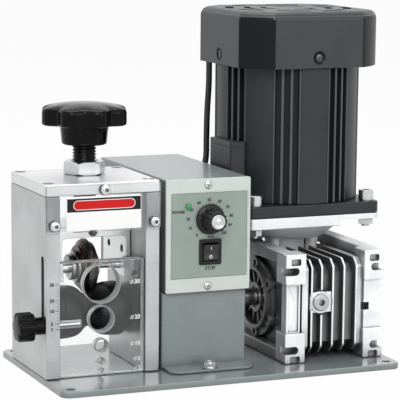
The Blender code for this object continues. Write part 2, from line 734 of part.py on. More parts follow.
def build_top_plate(machine):
    """Top plate of the head, with the screw bore and four countersunk screws."""
    shape = block((HEAD_X0, HEAD_Y0, TOP_Z0), (HEAD_X1, HEAD_Y1, TOP_Z1))
    top = machine.piece("top_plate", shape, METAL_LIGHT)
    holes = bmesh.new()
    centre = (NIP_X, DRIVE_Y)
    rod(SCREW_R + RUN_GAP, TOP_Z0 - CUT_OVER, TOP_Z1 + CUT_OVER, centre, steps=ROUND, shape=holes)
    wide = TOP_SCREW_HEAD_R + SEAT_GAP
    narrow = TOP_SCREW_SHANK_R + SEAT_GAP
    for x in TOP_SCREW_X:
        for y in TOP_SCREW_Y:
            profile = ((narrow, TOP_Z0 - CUT_OVER), (narrow, TOP_Z1 - TOP_SCREW_HEAD_H),
                       (wide, TOP_Z1 - SEAT_GAP), (wide, TOP_Z1 + CUT_OVER))
            lathe(profile, (x, y), steps=TINY, shape=holes)
    guard_screw_hole(GUARD_SCREWS[0], holes)
    machine.cut(top, "top_plate_holes", holes)
    count = 0
    for x in TOP_SCREW_X:
        for y in TOP_SCREW_Y:
            count += 1
            face = TOP_Z1 - SEAT_GAP
            profile = ((TOP_SCREW_SHANK_R, SIDE_TOP - TOP_SCREW_REACH),
                       (TOP_SCREW_SHANK_R, TOP_Z1 - TOP_SCREW_HEAD_H), (TOP_SCREW_HEAD_R, face),
                       (SOCKET_R, face), (SOCKET_R, face - SOCKET_DEPTH))
            machine.piece(f"top_plate_screw_{count}", lathe(profile, (x, y), steps=TINY), METAL_DARK)


def build_guard(machine):
    """Clear guard on the front, the plain label on it and its three screws."""
    shape = block((HEAD_X0, GUARD_Y0, GUARD_Z0), (HEAD_X1, GUARD_Y1, GUARD_Z1))
    guard = machine.piece("guard_plate", shape, CLEAR)
    holes = bmesh.new()
    for at in GUARD_SCREWS:
        rod(GUARD_SCREW_R + RUN_GAP, GUARD_Y0 - CUT_OVER, GUARD_Y1 + CUT_OVER, at, "Y", TINY, holes)
    machine.cut(guard, "guard_plate_holes", holes)
    label_y = GUARD_Y0 - SEAT_GAP
    shape = block((LABEL_X0, label_y - LABEL_THICK, LABEL_Z0), (LABEL_X1, label_y, LABEL_Z1))
    machine.piece("guard_label", shape, PLASTIC_WHITE)
    for count, at in enumerate(GUARD_SCREWS, 1):
        under = GUARD_Y0 - SEAT_GAP
        crown = under - GUARD_HEAD_H
        profile = ((GUARD_SCREW_R, HEAD_Y0 + GUARD_SCREW_REACH), (GUARD_SCREW_R, under),
                   (GUARD_HEAD_R, under), (GUARD_HEAD_R, under - GUARD_HEAD_H / 2),
                   (GUARD_HEAD_R * TAPER_SHARE, crown), (SOCKET_R, crown), (SOCKET_R, crown + SOCKET_DEPTH))
        machine.piece(f"guard_screw_{count}", lathe(profile, at, "Y", TINY), METAL_STEEL)


def build_height_screw(machine):
    """Nut on the top plate, threaded screw and star knob that set the blade's height."""
    centre = (NIP_X, DRIVE_Y)
    low = TOP_Z1 + SEAT_GAP
    high = low + NUT_HEIGHT
    bore = SCREW_R + RUN_GAP
    inner = NUT_CORNER_R - NUT_CHAMFER
    profile = ((bore, low), (inner, low), (NUT_CORNER_R, low + NUT_CHAMFER / 2),
               (NUT_CORNER_R, high - NUT_CHAMFER / 2), (inner, high), (bore, high))
    shape = bmesh.new()
    rows = []
    for radius, height in profile:
        ring = hex_ring(radius, centre, radius > bore)
        rows.append([shape.verts.new((u, v, height)) for u, v in ring])
    for k, row in enumerate(rows):
        following = rows[(k + 1) % len(rows)]
        for i in range(len(row)):
            j = (i + 1) % len(row)
            shape.faces.new((row[i], row[j], following[j], following[i]))
    machine.piece("height_nut", shape, METAL_STEEL)

    profile = [(SCREW_END_R, SCREW_END_Z), (SCREW_END_R, SCREW_LOW_Z), (SCREW_ROOT_R, SCREW_LOW_Z),
               (SCREW_ROOT_R, SCREW_THREAD_Z)]
    for i in range(SCREW_RIDGES):
        z = SCREW_THREAD_Z + SCREW_PITCH * i
        profile += [(SCREW_R, z + SCREW_PITCH / 2), (SCREW_ROOT_R, z + SCREW_PITCH)]
    profile += [(SCREW_ROOT_R, SCREW_TOP_Z)]
    pivot = (NIP_X, DRIVE_Y, TOP_Z1)
    machine.piece("height_screw", lathe(profile, centre, steps=SMALL), METAL_DARK, pivot)

    knob = bmesh.new()
    wall = SCREW_R + SEAT_GAP
    rings = [(wall, 0, SCREW_TOP_Z + SEAT_GAP), (wall, 0, HUB_Z0), (HUB_R - KNOB_EDGE, 0, HUB_Z0),
             (HUB_R, 0, HUB_Z0 + KNOB_EDGE), (HUB_TOP_R, 0, RIM_Z0), (KNOB_R - KNOB_EDGE, KNOB_LOBE, RIM_Z0),
             (KNOB_R, KNOB_LOBE, RIM_Z0 + KNOB_EDGE), (KNOB_R, KNOB_LOBE, RIM_Z1 - KNOB_EDGE),
             (KNOB_R - KNOB_EDGE, KNOB_LOBE, RIM_Z1), (DOME_R1, KNOB_LOBE / 2, DOME_Z1),
             (DOME_R2, 0, DOME_Z2), (DOME_R3, 0, KNOB_TOP)]
    levels = []
    for radius, swing, z in rings:
        outline = lobed(radius, swing, KNOB_LOBES, KNOB_STEPS, centre, KNOB_TURN)
        levels.append([(u, v, z) for u, v in outline])
    machine.piece("star_knob", stack(knob, levels), PLASTIC_BLACK, pivot)


def hex_ring(radius, centre, six_sided):
    """Ring of points, on a hexagon for the outside of a nut or on a circle for its bore."""
    points = []
    side = math.tau / HEX_SIDES
    for i in range(NUT_STEPS):
        angle = NUT_TURN + math.tau * i / NUT_STEPS
        reach = radius
        if six_sided:
            off = (angle - NUT_TURN) % side - side / 2
            reach = radius * math.cos(side / 2) / math.cos(off)
        points.append((centre[0] + reach * math.cos(angle), centre[1] + reach * math.sin(angle)))
    return points


def build_carrier(machine):
    """Bridge that slides between the side plates and holds the blade's axle."""
    x0 = INNER_X0 + SEAT_GAP
    x1 = INNER_X1 - SEAT_GAP
    outline = [(x0, CARRIER_Z0), (ARM_LEFT_X, CARRIER_Z0)]
    left_x = ARM_LEFT_X + CARRIER_FILLET
    right_x = ARM_RIGHT_X - CARRIER_FILLET
    middle_z = CARRIER_BRIDGE_Z - CARRIER_FILLET
    for middle_x, start in ((left_x, math.pi), (right_x, math.pi / 2)):
        for i in range(FILLET_STEPS + 1):
            angle = start - math.pi / 2 * i / FILLET_STEPS
            z = middle_z + CARRIER_FILLET * math.sin(angle)
            outline.append((middle_x + CARRIER_FILLET * math.cos(angle), z))
    outline += [(ARM_RIGHT_X, CARRIER_Z0), (x1, CARRIER_Z0), (x1, CARRIER_TOP), (x0, CARRIER_TOP)]
    pivot = (NIP_X, DRIVE_Y, CARRIER_TOP)
    carrier = machine.piece("blade_carrier", prism(outline, CARRIER_Y0, CARRIER_Y1, "Y"), METAL_LIGHT, pivot)
    holes = bmesh.new()
    axle = (DRIVE_Y, BLADE_Z)
    rod(AXLE_R + RUN_GAP, x0 - CUT_OVER, ARM_LEFT_X + CUT_OVER, axle, "X", SMALL, holes)
    rod(AXLE_THIN_R + RUN_GAP, ARM_RIGHT_X - CUT_OVER, x1 + CUT_OVER, axle, "X", SMALL, holes)
    for y in CARRIER_SIDE_HOLES_Y:
        at = (y, CARRIER_SIDE_HOLE_Z)
        rod(CARRIER_SIDE_HOLE_R, ARM_RIGHT_X - CUT_OVER, x1 + CUT_OVER, at, "X", TINY, holes)
    front = CARRIER_Y0 + CARRIER_HOLE_DEPTH
    rod(CARRIER_HOLE_R, CARRIER_Y0 - CUT_OVER, front, (NIP_X, CARRIER_HOLE_Z), "Y", SMALL, holes)
    rod(SCREW_END_R + RUN_GAP, SCREW_END_Z - SEAT_GAP, CARRIER_TOP + CUT_OVER, (NIP_X, DRIVE_Y), shape=holes)
    machine.cut(carrier, "blade_carrier_holes", holes)


def build_blade(machine):
    """Double-bevelled round blade on its axle, between two collars."""
    centre = (DRIVE_Y, BLADE_Z)
    pivot = (NIP_X, DRIVE_Y, BLADE_Z)
    bore = AXLE_R + SEAT_GAP
    left = NIP_X - BLADE_HALF
    right = NIP_X + BLADE_HALF
    rim_left = NIP_X - BLADE_EDGE / 2
    rim_right = NIP_X + BLADE_EDGE / 2
    cheek = NIP_X + BLADE_CHEEK_RIGHT_X
    profile = ((bore, left), (BLADE_CHEEK_LEFT_R, left), (BLADE_CHEEK_LEFT_R, left + BLADE_CHEEK_LEFT_W),
               (BLADE_NECK_R, NIP_X - BLADE_NECK_X), (BLADE_R, rim_left), (BLADE_R, rim_right),
               (BLADE_CHEEK_RIGHT_R, rim_right), (BLADE_CHEEK_RIGHT_R, cheek), (BLADE_FACE_R, right),
               (bore, right))
    machine.piece("cutting_blade", tube(profile, centre, "X", FINE), METAL_DARK, pivot)
    profile = ((AXLE_R, AXLE_X0), (AXLE_R, AXLE_STEP_X), (AXLE_THIN_R, AXLE_STEP_X), (AXLE_THIN_R, AXLE_X1))
    machine.piece("blade_axle", lathe(profile, centre, "X", SMALL), METAL_STEEL, pivot)
    end = left - SEAT_GAP
    profile = ((bore, end - COLLAR_LEFT_W), (COLLAR_LEFT_R - COLLAR_EDGE, end - COLLAR_LEFT_W),
               (COLLAR_LEFT_R, end - COLLAR_LEFT_W + COLLAR_EDGE), (COLLAR_LEFT_R, end), (bore, end))
    machine.piece("blade_collar_left", tube(profile, centre, "X", ROUND), METAL_DARK, pivot)
    start = right + SEAT_GAP
    profile = ((bore, start), (COLLAR_RIGHT_R, start), (COLLAR_RIGHT_R - COLLAR_EDGE, start + COLLAR_RIGHT_W),
               (bore, start + COLLAR_RIGHT_W))
    machine.piece("blade_collar_right", tube(profile, centre, "X", ROUND), METAL_DARK, pivot)


def build_guide(machine):
    """Clear plate with the five wire holes, and the knob and stud that lock it."""
    shape = block((INNER_X0 + RUN_GAP, GUIDE_Y0, GUIDE_Z0), (INNER_X1 - RUN_GAP, GUIDE_Y1, GUIDE_Z1))
    pivot = (GUIDE_HOLES_X, LOCK_Y, LOCK_Z)
    guide = machine.piece("guide_plate", shape, CLEAR, pivot)
    holes = bmesh.new()
    for radius, z in GUIDE_HOLES:
        edge = min(GUIDE_HOLE_CHAMFER, radius * GUIDE_CHAMFER_SHARE)
        steps = FINE if radius > GUIDE_FINE_HOLE_R else TINY
        profile = ((radius + edge + CUT_OVER, GUIDE_Y0 - CUT_OVER), (radius, GUIDE_Y0 + edge),
                   (radius, GUIDE_Y1 - edge), (radius + edge + CUT_OVER, GUIDE_Y1 + CUT_OVER))
        lathe(profile, (GUIDE_HOLES_X, z), "Y", steps, holes)
    side = INNER_X0 + RUN_GAP - CUT_OVER
    rod(LOCK_STUD_R + SEAT_GAP, side, LOCK_STUD_X1 + SEAT_GAP, (LOCK_Y, LOCK_Z), "X", SMALL, holes)
    machine.cut(guide, "guide_plate_holes", holes)

    centre = (LOCK_Y, LOCK_Z)
    pivot = (HEAD_X0, LOCK_Y, LOCK_Z)
    bore = LOCK_STUD_R + SEAT_GAP
    deep = LOCK_X1 - LOCK_STUD_IN_KNOB
    rings = ((LOCK_HEAD_R - LOCK_EDGE, LOCK_LOBE, LOCK_X0), (LOCK_HEAD_R, LOCK_LOBE, LOCK_X0 + LOCK_EDGE),
             (LOCK_HEAD_R, LOCK_LOBE, LOCK_HEAD_X - LOCK_EDGE),
             (LOCK_HEAD_R - LOCK_EDGE, LOCK_LOBE, LOCK_HEAD_X), (LOCK_SHANK_R, 0, LOCK_HEAD_X),
             (LOCK_SHANK_R, 0, LOCK_X1), (bore, 0, LOCK_X1), (bore, 0, deep))
    levels = []
    for radius, swing, x in rings:
        outline = lobed(radius, swing, LOCK_LOBES, LOCK_STEPS, centre)
        levels.append([(x, u, v) for u, v in outline])
    machine.piece("guide_lock_knob", stack(bmesh.new(), levels), PLASTIC_BLACK, pivot)
    stud = rod(LOCK_STUD_R, deep + SEAT_GAP, LOCK_STUD_X1, centre, "X", SMALL)
    machine.piece("guide_lock_stud", stud, METAL_STEEL, pivot)


def build_roller(machine):
    """Feed roller with toothed V faces, on the shaft that the gearbox turns."""
    shape = bmesh.new()
    bore = SHAFT_R + SEAT_GAP
    middle_r = (ROLLER_R + ROLLER_ROOT_R) / 2
    edge = ROLLER_HALF - ROLLER_EDGE
    profile = ((bore, -ROLLER_HALF, 0), (ROLLER_R - ROLLER_EDGE, -ROLLER_HALF, 0), (ROLLER_R, -edge, 0),
               (ROLLER_R, -ROLLER_LAND, 0), (middle_r, -ROLLER_LAND / 2, 1), (ROLLER_ROOT_R, 0, 0),
               (middle_r, ROLLER_LAND / 2, 1), (ROLLER_R, ROLLER_LAND, 0), (ROLLER_R, edge, 0),
               (ROLLER_R - ROLLER_EDGE, ROLLER_HALF, 0), (bore, ROLLER_HALF, 0))
    rows = []
    for radius, offset, toothed in profile:
        row = []
        for i in range(ROLLER_STEPS):
            angle = math.tau * i / ROLLER_STEPS
            reach = radius + toothed * ROLLER_TOOTH * (1 if i % 2 else -1)
            y = DRIVE_Y + reach * math.cos(angle)
            z = DRIVE_Z + reach * math.sin(angle)
            row.append(shape.verts.new((NIP_X + offset, y, z)))
        rows.append(row)
    for k, row in enumerate(rows):
        following = rows[(k + 1) % len(rows)]
        for i in range(ROLLER_STEPS):
            j = (i + 1) % ROLLER_STEPS
            shape.faces.new((row[i], row[j], following[j], following[i]))
    pivot = (NIP_X, DRIVE_Y, DRIVE_Z)
    machine.piece("feed_roller", shape, METAL_DARK, pivot)
    shaft = rod(SHAFT_R, SHAFT_X0, SHAFT_X1, (DRIVE_Y, DRIVE_Z), "X", ROUND)
    machine.piece("drive_shaft", shaft, METAL_STEEL, pivot)


def build_drive_cover(machine):
    """Painted sheet cover between head and gearbox, with its foot and bolt."""
    shape = block((COVER_X0, COVER_Y0, DECK), (COVER_X1, COVER_Y1, COVER_Z1))
    cover = machine.piece("drive_cover", shape, PAINT_GREY)
    foot = rounded(COVER_X0 + SEAT_GAP, COVER_FOOT_Y, COVER_X1 - SEAT_GAP, COVER_Y0 + COVER_FOOT_LAP,
                   COVER_FOOT_CORNER, CORNER_STEPS)
    machine.join(cover, "drive_cover_foot", prism(foot, DECK, DECK + COVER_WALL))
    room = block((COVER_X0 + COVER_WALL, COVER_Y0 + COVER_WALL, DECK - CUT_OVER),
                 (COVER_X1 - COVER_WALL, COVER_Y1 - COVER_WALL, COVER_Z1 - COVER_WALL))
    machine.cut(cover, "drive_cover_room", room)
    holes = bmesh.new()
    axis = (DRIVE_Y, DRIVE_Z)
    rod(COVER_SHAFT_R, COVER_X0 - CUT_OVER, COVER_X1 + CUT_OVER, axis, "X", ROUND, holes)
    at = (COVER_BOLT_X, COVER_BOLT_Y)
    rod(BOLT_SHANK_R + RUN_GAP, DECK - CUT_OVER, DECK + COVER_WALL + CUT_OVER, at, shape=holes)
    machine.cut(cover, "drive_cover_holes", holes)
    low = DECK + COVER_WALL + SEAT_GAP
    under = low + BOLT_WASHER_H
    profile = ((BOLT_SHANK_R, BOLT_END_Z), (BOLT_SHANK_R, low), (BOLT_WASHER_R, low), (BOLT_HEX_R, under))
    bolt = machine.piece("cover_bolt", lathe(profile, at, steps=SMALL), METAL_STEEL)
    outline = circle(BOLT_HEX_R, HEX_SIDES, at, BOLT_HEX_TURN)
    machine.join(bolt, "cover_bolt_hex", prism(outline, low + BOLT_WASHER_H / 2, under + BOLT_HEX_H))


def build_control_box(machine):
    """Sheet box on the drive cover, open to the front, and the cord gland in its back."""
    shape = block((BOX_X0, BOX_Y0, BOX_Z0), (BOX_X1, BOX_Y1, BOX_Z1))
    box = machine.piece("control_box", shape, PAINT_GREY)
    room = block((BOX_X0 + BOX_WALL, BOX_Y0 - CUT_OVER, BOX_Z0 + BOX_WALL),
                 (BOX_X1 - BOX_WALL, BOX_Y1 - BOX_WALL, BOX_Z1 - BOX_WALL))
    machine.cut(box, "control_box_room", room)
    holes = bmesh.new()
    inner_y = BOX_Y1 - BOX_WALL - CUT_OVER
    rod(GLAND_THREAD_R + SEAT_GAP, inner_y, BOX_Y1 + CUT_OVER, (GLAND_X, GLAND_Z), "Y", SMALL, holes)
    inner_x = BOX_X1 - BOX_WALL - CUT_OVER
    rod(CABLE_HOLE_R, inner_x, BOX_X1 + CUT_OVER, (CABLE_HOLE_Y, CABLE_HOLE_Z), "X", SMALL, holes)
    machine.cut(box, "control_box_holes", holes)
    start = BOX_Y1 + SEAT_GAP
    end = BOX_Y1 - GLAND_INSIDE
    collar = start + GLAND_BODY_L
    tail = start + GLAND_LENGTH
    profile = ((GLAND_BORE_R, end), (GLAND_THREAD_R, end), (GLAND_THREAD_R, start), (GLAND_BODY_R, start),
               (GLAND_BODY_R, collar), (GLAND_CAP_R, collar), (GLAND_CAP_R * TAPER_SHARE, tail),
               (GLAND_BORE_R, tail))
    machine.piece("cord_gland", tube(profile, (GLAND_X, GLAND_Z), "Y", SMALL), PLASTIC_BLACK)


def build_panel(machine):
    """Bezel, sage panel and the two screws of the control box's front."""
    shape = block((BEZEL_X0, BEZEL_Y0, BEZEL_Z0), (BEZEL_X1, BEZEL_Y1, BEZEL_Z1))
    bezel = machine.piece("control_bezel", shape, PAINT_PALE)
    holes = block((WINDOW_X0, BEZEL_Y0 - CUT_OVER, WINDOW_Z0), (WINDOW_X1, BEZEL_Y1 + CUT_OVER, WINDOW_Z1))
    for z in BEZEL_SCREWS_Z:
        at = (BEZEL_SCREW_X, z)
        rod(BEZEL_SCREW_R + SEAT_GAP, BEZEL_Y0 - CUT_OVER, BEZEL_Y1 + CUT_OVER, at, "Y", TINY, holes)
    machine.cut(bezel, "control_bezel_holes", holes)
    shape = block((WINDOW_X0 + SEAT_GAP, PANEL_Y0, WINDOW_Z0 + SEAT_GAP),
                  (WINDOW_X1 - SEAT_GAP, PANEL_Y1, WINDOW_Z1 - SEAT_GAP))
    panel = machine.piece("control_panel", shape, PAINT_SAGE)
    half_w = SWITCH_BODY_W / 2 + SEAT_GAP
    half_h = SWITCH_BODY_H / 2 + SEAT_GAP
    front = PANEL_Y0 - CUT_OVER
    back = PANEL_Y1 + CUT_OVER
    holes = block((SWITCH_X - half_w, front, SWITCH_Z - half_h), (SWITCH_X + half_w, back, SWITCH_Z + half_h))
    rod(POT_BUSH_R + SEAT_GAP, front, back, (DIAL_X, DIAL_Z), "Y", SMALL, holes)
    rod(LAMP_R + SEAT_GAP, front, back, (LAMP_X, LAMP_Z), "Y", SMALL, holes)
    machine.cut(panel, "control_panel_holes", holes)
    for count, z in enumerate(BEZEL_SCREWS_Z, 1):
        under = BEZEL_Y0 - SEAT_GAP
        profile = ((BEZEL_SCREW_R, under + BEZEL_SCREW_L), (BEZEL_SCREW_R, under), (BEZEL_HEAD_R, under),
                   (BEZEL_HEAD_R * TAPER_SHARE, under - BEZEL_HEAD_H))
        machine.piece(f"bezel_screw_{count}", lathe(profile, (BEZEL_SCREW_X, z), "Y", TINY), METAL_STEEL)


def build_speed_control(machine):
    """Fluted speed knob with its cap, the potentiometer behind it and the speed board."""
    centre = (DIAL_X, DIAL_Z)
    back = PANEL_Y0 - RUN_GAP
    skirt = back - DIAL_SKIRT_H
    crown = skirt - DIAL_BODY_H
    pivot = (DIAL_X, back, DIAL_Z)
    bore = POT_BUSH_R + RUN_GAP
    deep = back - POT_SHAFT_L - RUN_GAP
    rings = ((bore, 0, deep), (bore, 0, back), (DIAL_SKIRT_R, 0, back), (DIAL_SKIRT_R * DIAL_TAPER, 0, skirt),
             (DIAL_BODY_R, DIAL_FLUTE, skirt), (DIAL_BODY_R * DIAL_TAPER, DIAL_FLUTE, crown))
    levels = []
    for radius, swing, y in rings:
        outline = lobed(radius, swing, DIAL_FLUTES, DIAL_STEPS, centre)
        levels.append([(u, y, v) for u, v in outline])
    machine.piece("speed_knob", stack(bmesh.new(), levels), PLASTIC_BLACK, pivot)
    face = crown - SEAT_GAP
    profile = ((CAP_R, face), (CAP_R, face - CAP_H + CAP_EDGE), (CAP_R - CAP_EDGE, face - CAP_H))
    machine.piece("speed_knob_cap", lathe(profile, centre, "Y", SMALL), METAL_STEEL, pivot)
    front = PANEL_Y1 + SEAT_GAP
    profile = ((POT_SHAFT_R, back - POT_SHAFT_L), (POT_SHAFT_R, PANEL_Y0), (POT_BUSH_R, PANEL_Y0),
               (POT_BUSH_R, front), (POT_BODY_R, front), (POT_BODY_R, POT_BODY_Y1))
    machine.piece("speed_potentiometer", lathe(profile, centre, "Y", SMALL), METAL_STEEL)
    start = POT_BODY_Y1 + SEAT_GAP
    board = block((BOARD_X0, start, BOARD_Z0), (BOARD_X1, start + BOARD_THICK, BOARD_Z1))
    machine.piece("speed_board", board, BOARD_GREEN)


def build_switch(machine):
    """Rocker switch and power lamp of the panel."""
    half_w = SWITCH_W / 2
    half_h = SWITCH_H / 2
    face = PANEL_Y0 - SEAT_GAP
    shape = block((SWITCH_X - half_w, face - SWITCH_LIP, SWITCH_Z - half_h),
                  (SWITCH_X + half_w, face, SWITCH_Z + half_h))
    switch = machine.piece("power_switch", shape, PLASTIC_BLACK)
    half_w = SWITCH_BODY_W / 2
    half_h = SWITCH_BODY_H / 2
    body = block((SWITCH_X - half_w, face - SWITCH_LIP / 2, SWITCH_Z - half_h),
                 (SWITCH_X + half_w, SWITCH_BODY_Y1, SWITCH_Z + half_h))
    machine.join(switch, "power_switch_body", body)
    half_w = SWITCH_POCKET_W / 2
    half_h = SWITCH_POCKET_H / 2
    pocket = block((SWITCH_X - half_w, face - SWITCH_LIP - CUT_OVER, SWITCH_Z - half_h),
                   (SWITCH_X + half_w, SWITCH_POCKET_Y1, SWITCH_Z + half_h))
    machine.cut(switch, "power_switch_pocket", pocket)
    outline = ((-ROCKER_PROUD, -ROCKER_HALF), (-ROCKER_PROUD + ROCKER_DIP, 0), (-ROCKER_PROUD, ROCKER_HALF),
               (ROCKER_DEPTH, ROCKER_HALF * TAPER_SHARE), (ROCKER_DEPTH, -ROCKER_HALF * TAPER_SHARE))
    turned = []
    for y, z in outline:
        turned.append((ROCKER_PIVOT_Y + y * math.cos(ROCKER_REST) - z * math.sin(ROCKER_REST),
                       SWITCH_Z + y * math.sin(ROCKER_REST) + z * math.cos(ROCKER_REST)))
    rocker = prism(turned, SWITCH_X - ROCKER_W / 2, SWITCH_X + ROCKER_W / 2, "X")
    machine.piece("power_rocker", rocker, PLASTIC_BLACK, (SWITCH_X, ROCKER_PIVOT_Y, SWITCH_Z))
    top = face - LAMP_RIM
    profile = ((LAMP_R, LAMP_BACK_Y), (LAMP_R, face), (LAMP_BEZEL_R, face), (LAMP_BEZEL_R, top),
               (LAMP_R, top), (LAMP_R * TAPER_SHARE, face - LAMP_PROUD))
    machine.piece("power_lamp", lathe(profile, (LAMP_X, LAMP_Z), "Y", SMALL), GREEN)


def fin_outline(front, back, low, high, chamfer):
    """Side view of a fin or of the core, with its front corners cut off."""
    return ((front + chamfer, low), (back, low), (back, high), (front + chamfer, high),
            (front, high - chamfer), (front, low + chamfer))


def build_gearbox(machine):
    """Cast housing with corner pads, rails, fins and the room for wheel and worm."""
    core = prism(fin_outline(CORE_Y0, CORE_Y1, CORE_Z0, CORE_Z1, CORE_CHAMFER), CORE_X0, CORE_X1, "X")
    housing = machine.piece("gearbox_housing", core, METAL_CAST)
    pads = ((GEAR_X0, GEAR_X0 + PAD_W), (GEAR_X1 - PAD_W, GEAR_X1))
    levels = ((DECK, DECK + PAD_H, DECK, DECK + RAIL_H),
              (GEAR_TOP - PAD_H, GEAR_TOP, GEAR_TOP - RAIL_H, GEAR_TOP))
    for side, (x0, x1) in zip(("left", "right"), pads):
        rail = (x0, x0 + RAIL_W) if side == "left" else (x1 - RAIL_W, x1)
        shape = bmesh.new()
        for low, high, rail_low, rail_high in levels:
            if low > DECK:
                profile = [(GEAR_Y0, low), (GEAR_Y0 + PAD_D, low), (GEAR_Y0 + PAD_D, rail_low),
                           (GEAR_Y1, rail_low), (GEAR_Y1, rail_high), (GEAR_Y0, high)]
            else:
                profile = [(GEAR_Y0, low), (GEAR_Y1, rail_low), (GEAR_Y1, rail_high),
                           (GEAR_Y0 + PAD_D, rail_high), (GEAR_Y0 + PAD_D, high), (GEAR_Y0, high)]
            prism(profile, rail[0], rail[1], "X", shape)
        machine.join(housing, f"gearbox_rails_{side}", shape)
        shape = bmesh.new()
        inner = (rail[1] - SEAT_GAP, x1) if side == "left" else (x0, rail[0] + SEAT_GAP)
        for low, high, _, _ in levels:
            block((inner[0], GEAR_Y0 + SEAT_GAP / 2, low + SEAT_GAP / 2),
                  (inner[1], GEAR_Y0 + PAD_D, high - SEAT_GAP / 2), shape)
        machine.join(housing, f"gearbox_pads_{side}", shape)
        strip_x0 = x0 + STRIP_SIDE if side == "left" else x1 - STRIP_SIDE - STRIP_W
        strip = block((strip_x0, GEAR_Y0 + STRIP_INSET, DECK + PAD_H - CUT_OVER),
                      (strip_x0 + STRIP_W, CORE_Y0 + CUT_OVER, GEAR_TOP - PAD_H + CUT_OVER))
        machine.join(housing, f"gearbox_strip_{side}", strip)
    fins = bmesh.new()
    outline = fin_outline(FIN_Y0, FIN_Y1, FIN_Z0, FIN_TOP, FIN_CHAMFER)
    for x in FINS_X:
        prism(outline, x - FIN_THICK / 2, x + FIN_THICK / 2, "X", fins)
    machine.join(housing, "gearbox_fins", fins)
    walls = bmesh.new()
    outline = fin_outline(FIN_Y0 + STRIP_INSET, WALL_Y1, WALL_Z0, WALL_TOP, FIN_CHAMFER)
    for x0, x1 in (WALL_LEFT_X, WALL_RIGHT_X):
        prism(outline, x0, x1, "X", walls)
    machine.join(housing, "gearbox_walls", walls)
    at = (PLUG_X, PLUG_Z)
    clearing = rod(PLUG_BOSS_R + PLUG_CLEARING, FIN_Y0 - CUT_OVER, CORE_Y0 + SEAT_GAP, at, "Y", ROUND)
    machine.cut(housing, "gearbox_plug_clearing", clearing)
    boss = rod(PLUG_BOSS_R, PLUG_BOSS_Y, CORE_Y0 + CUT_OVER, at, "Y", ROUND)
    machine.join(housing, "gearbox_plug_boss", boss)

    wheel_room = rod(WHEEL_BORE_R, GEAR_X0 - CUT_OVER, WHEEL_BORE_X1, (DRIVE_Y, DRIVE_Z), "X", ROUND)
    machine.cut(housing, "gearbox_wheel_room", wheel_room)
    neck_room = rod(NECK_CLEARING_R, CORE_Z1, GEAR_TOP + CUT_OVER, (MOTOR_X, MOTOR_Y), steps=ROUND)
    machine.cut(housing, "gearbox_neck_room", neck_room)
    worm_room = rod(WORM_BORE_R, WORM_BORE_Z0, GEAR_TOP + CUT_OVER, (MOTOR_X, MOTOR_Y))
    machine.cut(housing, "gearbox_worm_room", worm_room)
    holes = bmesh.new()
    rod(SHAFT_FREE_R, WHEEL_BORE_X1 - CUT_OVER, SHAFT_X1 + RUN_GAP, (DRIVE_Y, DRIVE_Z), "X", SMALL, holes)
    rod(WORM_SHAFT_R + RUN_GAP, WORM_PILOT_Z0, WORM_BORE_Z0 + CUT_OVER, (MOTOR_X, MOTOR_Y), shape=holes)
    plug_end = PLUG_BOSS_Y + PLUG_SHANK_L + SEAT_GAP
    rod(PLUG_SHANK_R + SEAT_GAP, PLUG_BOSS_Y - CUT_OVER, plug_end, at, "Y", SMALL, holes)
    machine.cut(housing, "gearbox_bores", holes)
    slots = bmesh.new()
    for side, (x0, x1) in zip(("left", "right"), pads):
        for low, high, _, _ in levels:
            middle = (low + high) / 2 - PAD_SLOT_DROP
            slot_low = middle - PAD_SLOT_H / 2
            slot_high = middle + PAD_SLOT_H / 2
            slot_x = (x0 - CUT_OVER, x0 + PAD_SLOT_D) if side == "left" else (x1 - PAD_SLOT_D, x1 + CUT_OVER)
            block((slot_x[0], GEAR_Y0 - CUT_OVER, slot_low),
                  (slot_x[1], GEAR_Y0 + PAD_D / 2, slot_high), slots)
            pocket_x0 = (x0 + x1 - PAD_POCKET_W) / 2
            pocket_z0 = slot_high + CUT_OVER if low > DECK else slot_low - CUT_OVER - PAD_POCKET_H
            block((pocket_x0, GEAR_Y0 - CUT_OVER, pocket_z0),
                  (pocket_x0 + PAD_POCKET_W, GEAR_Y0 + PAD_POCKET_D, pocket_z0 + PAD_POCKET_H), slots)
    machine.cut(housing, "gearbox_slots", slots)


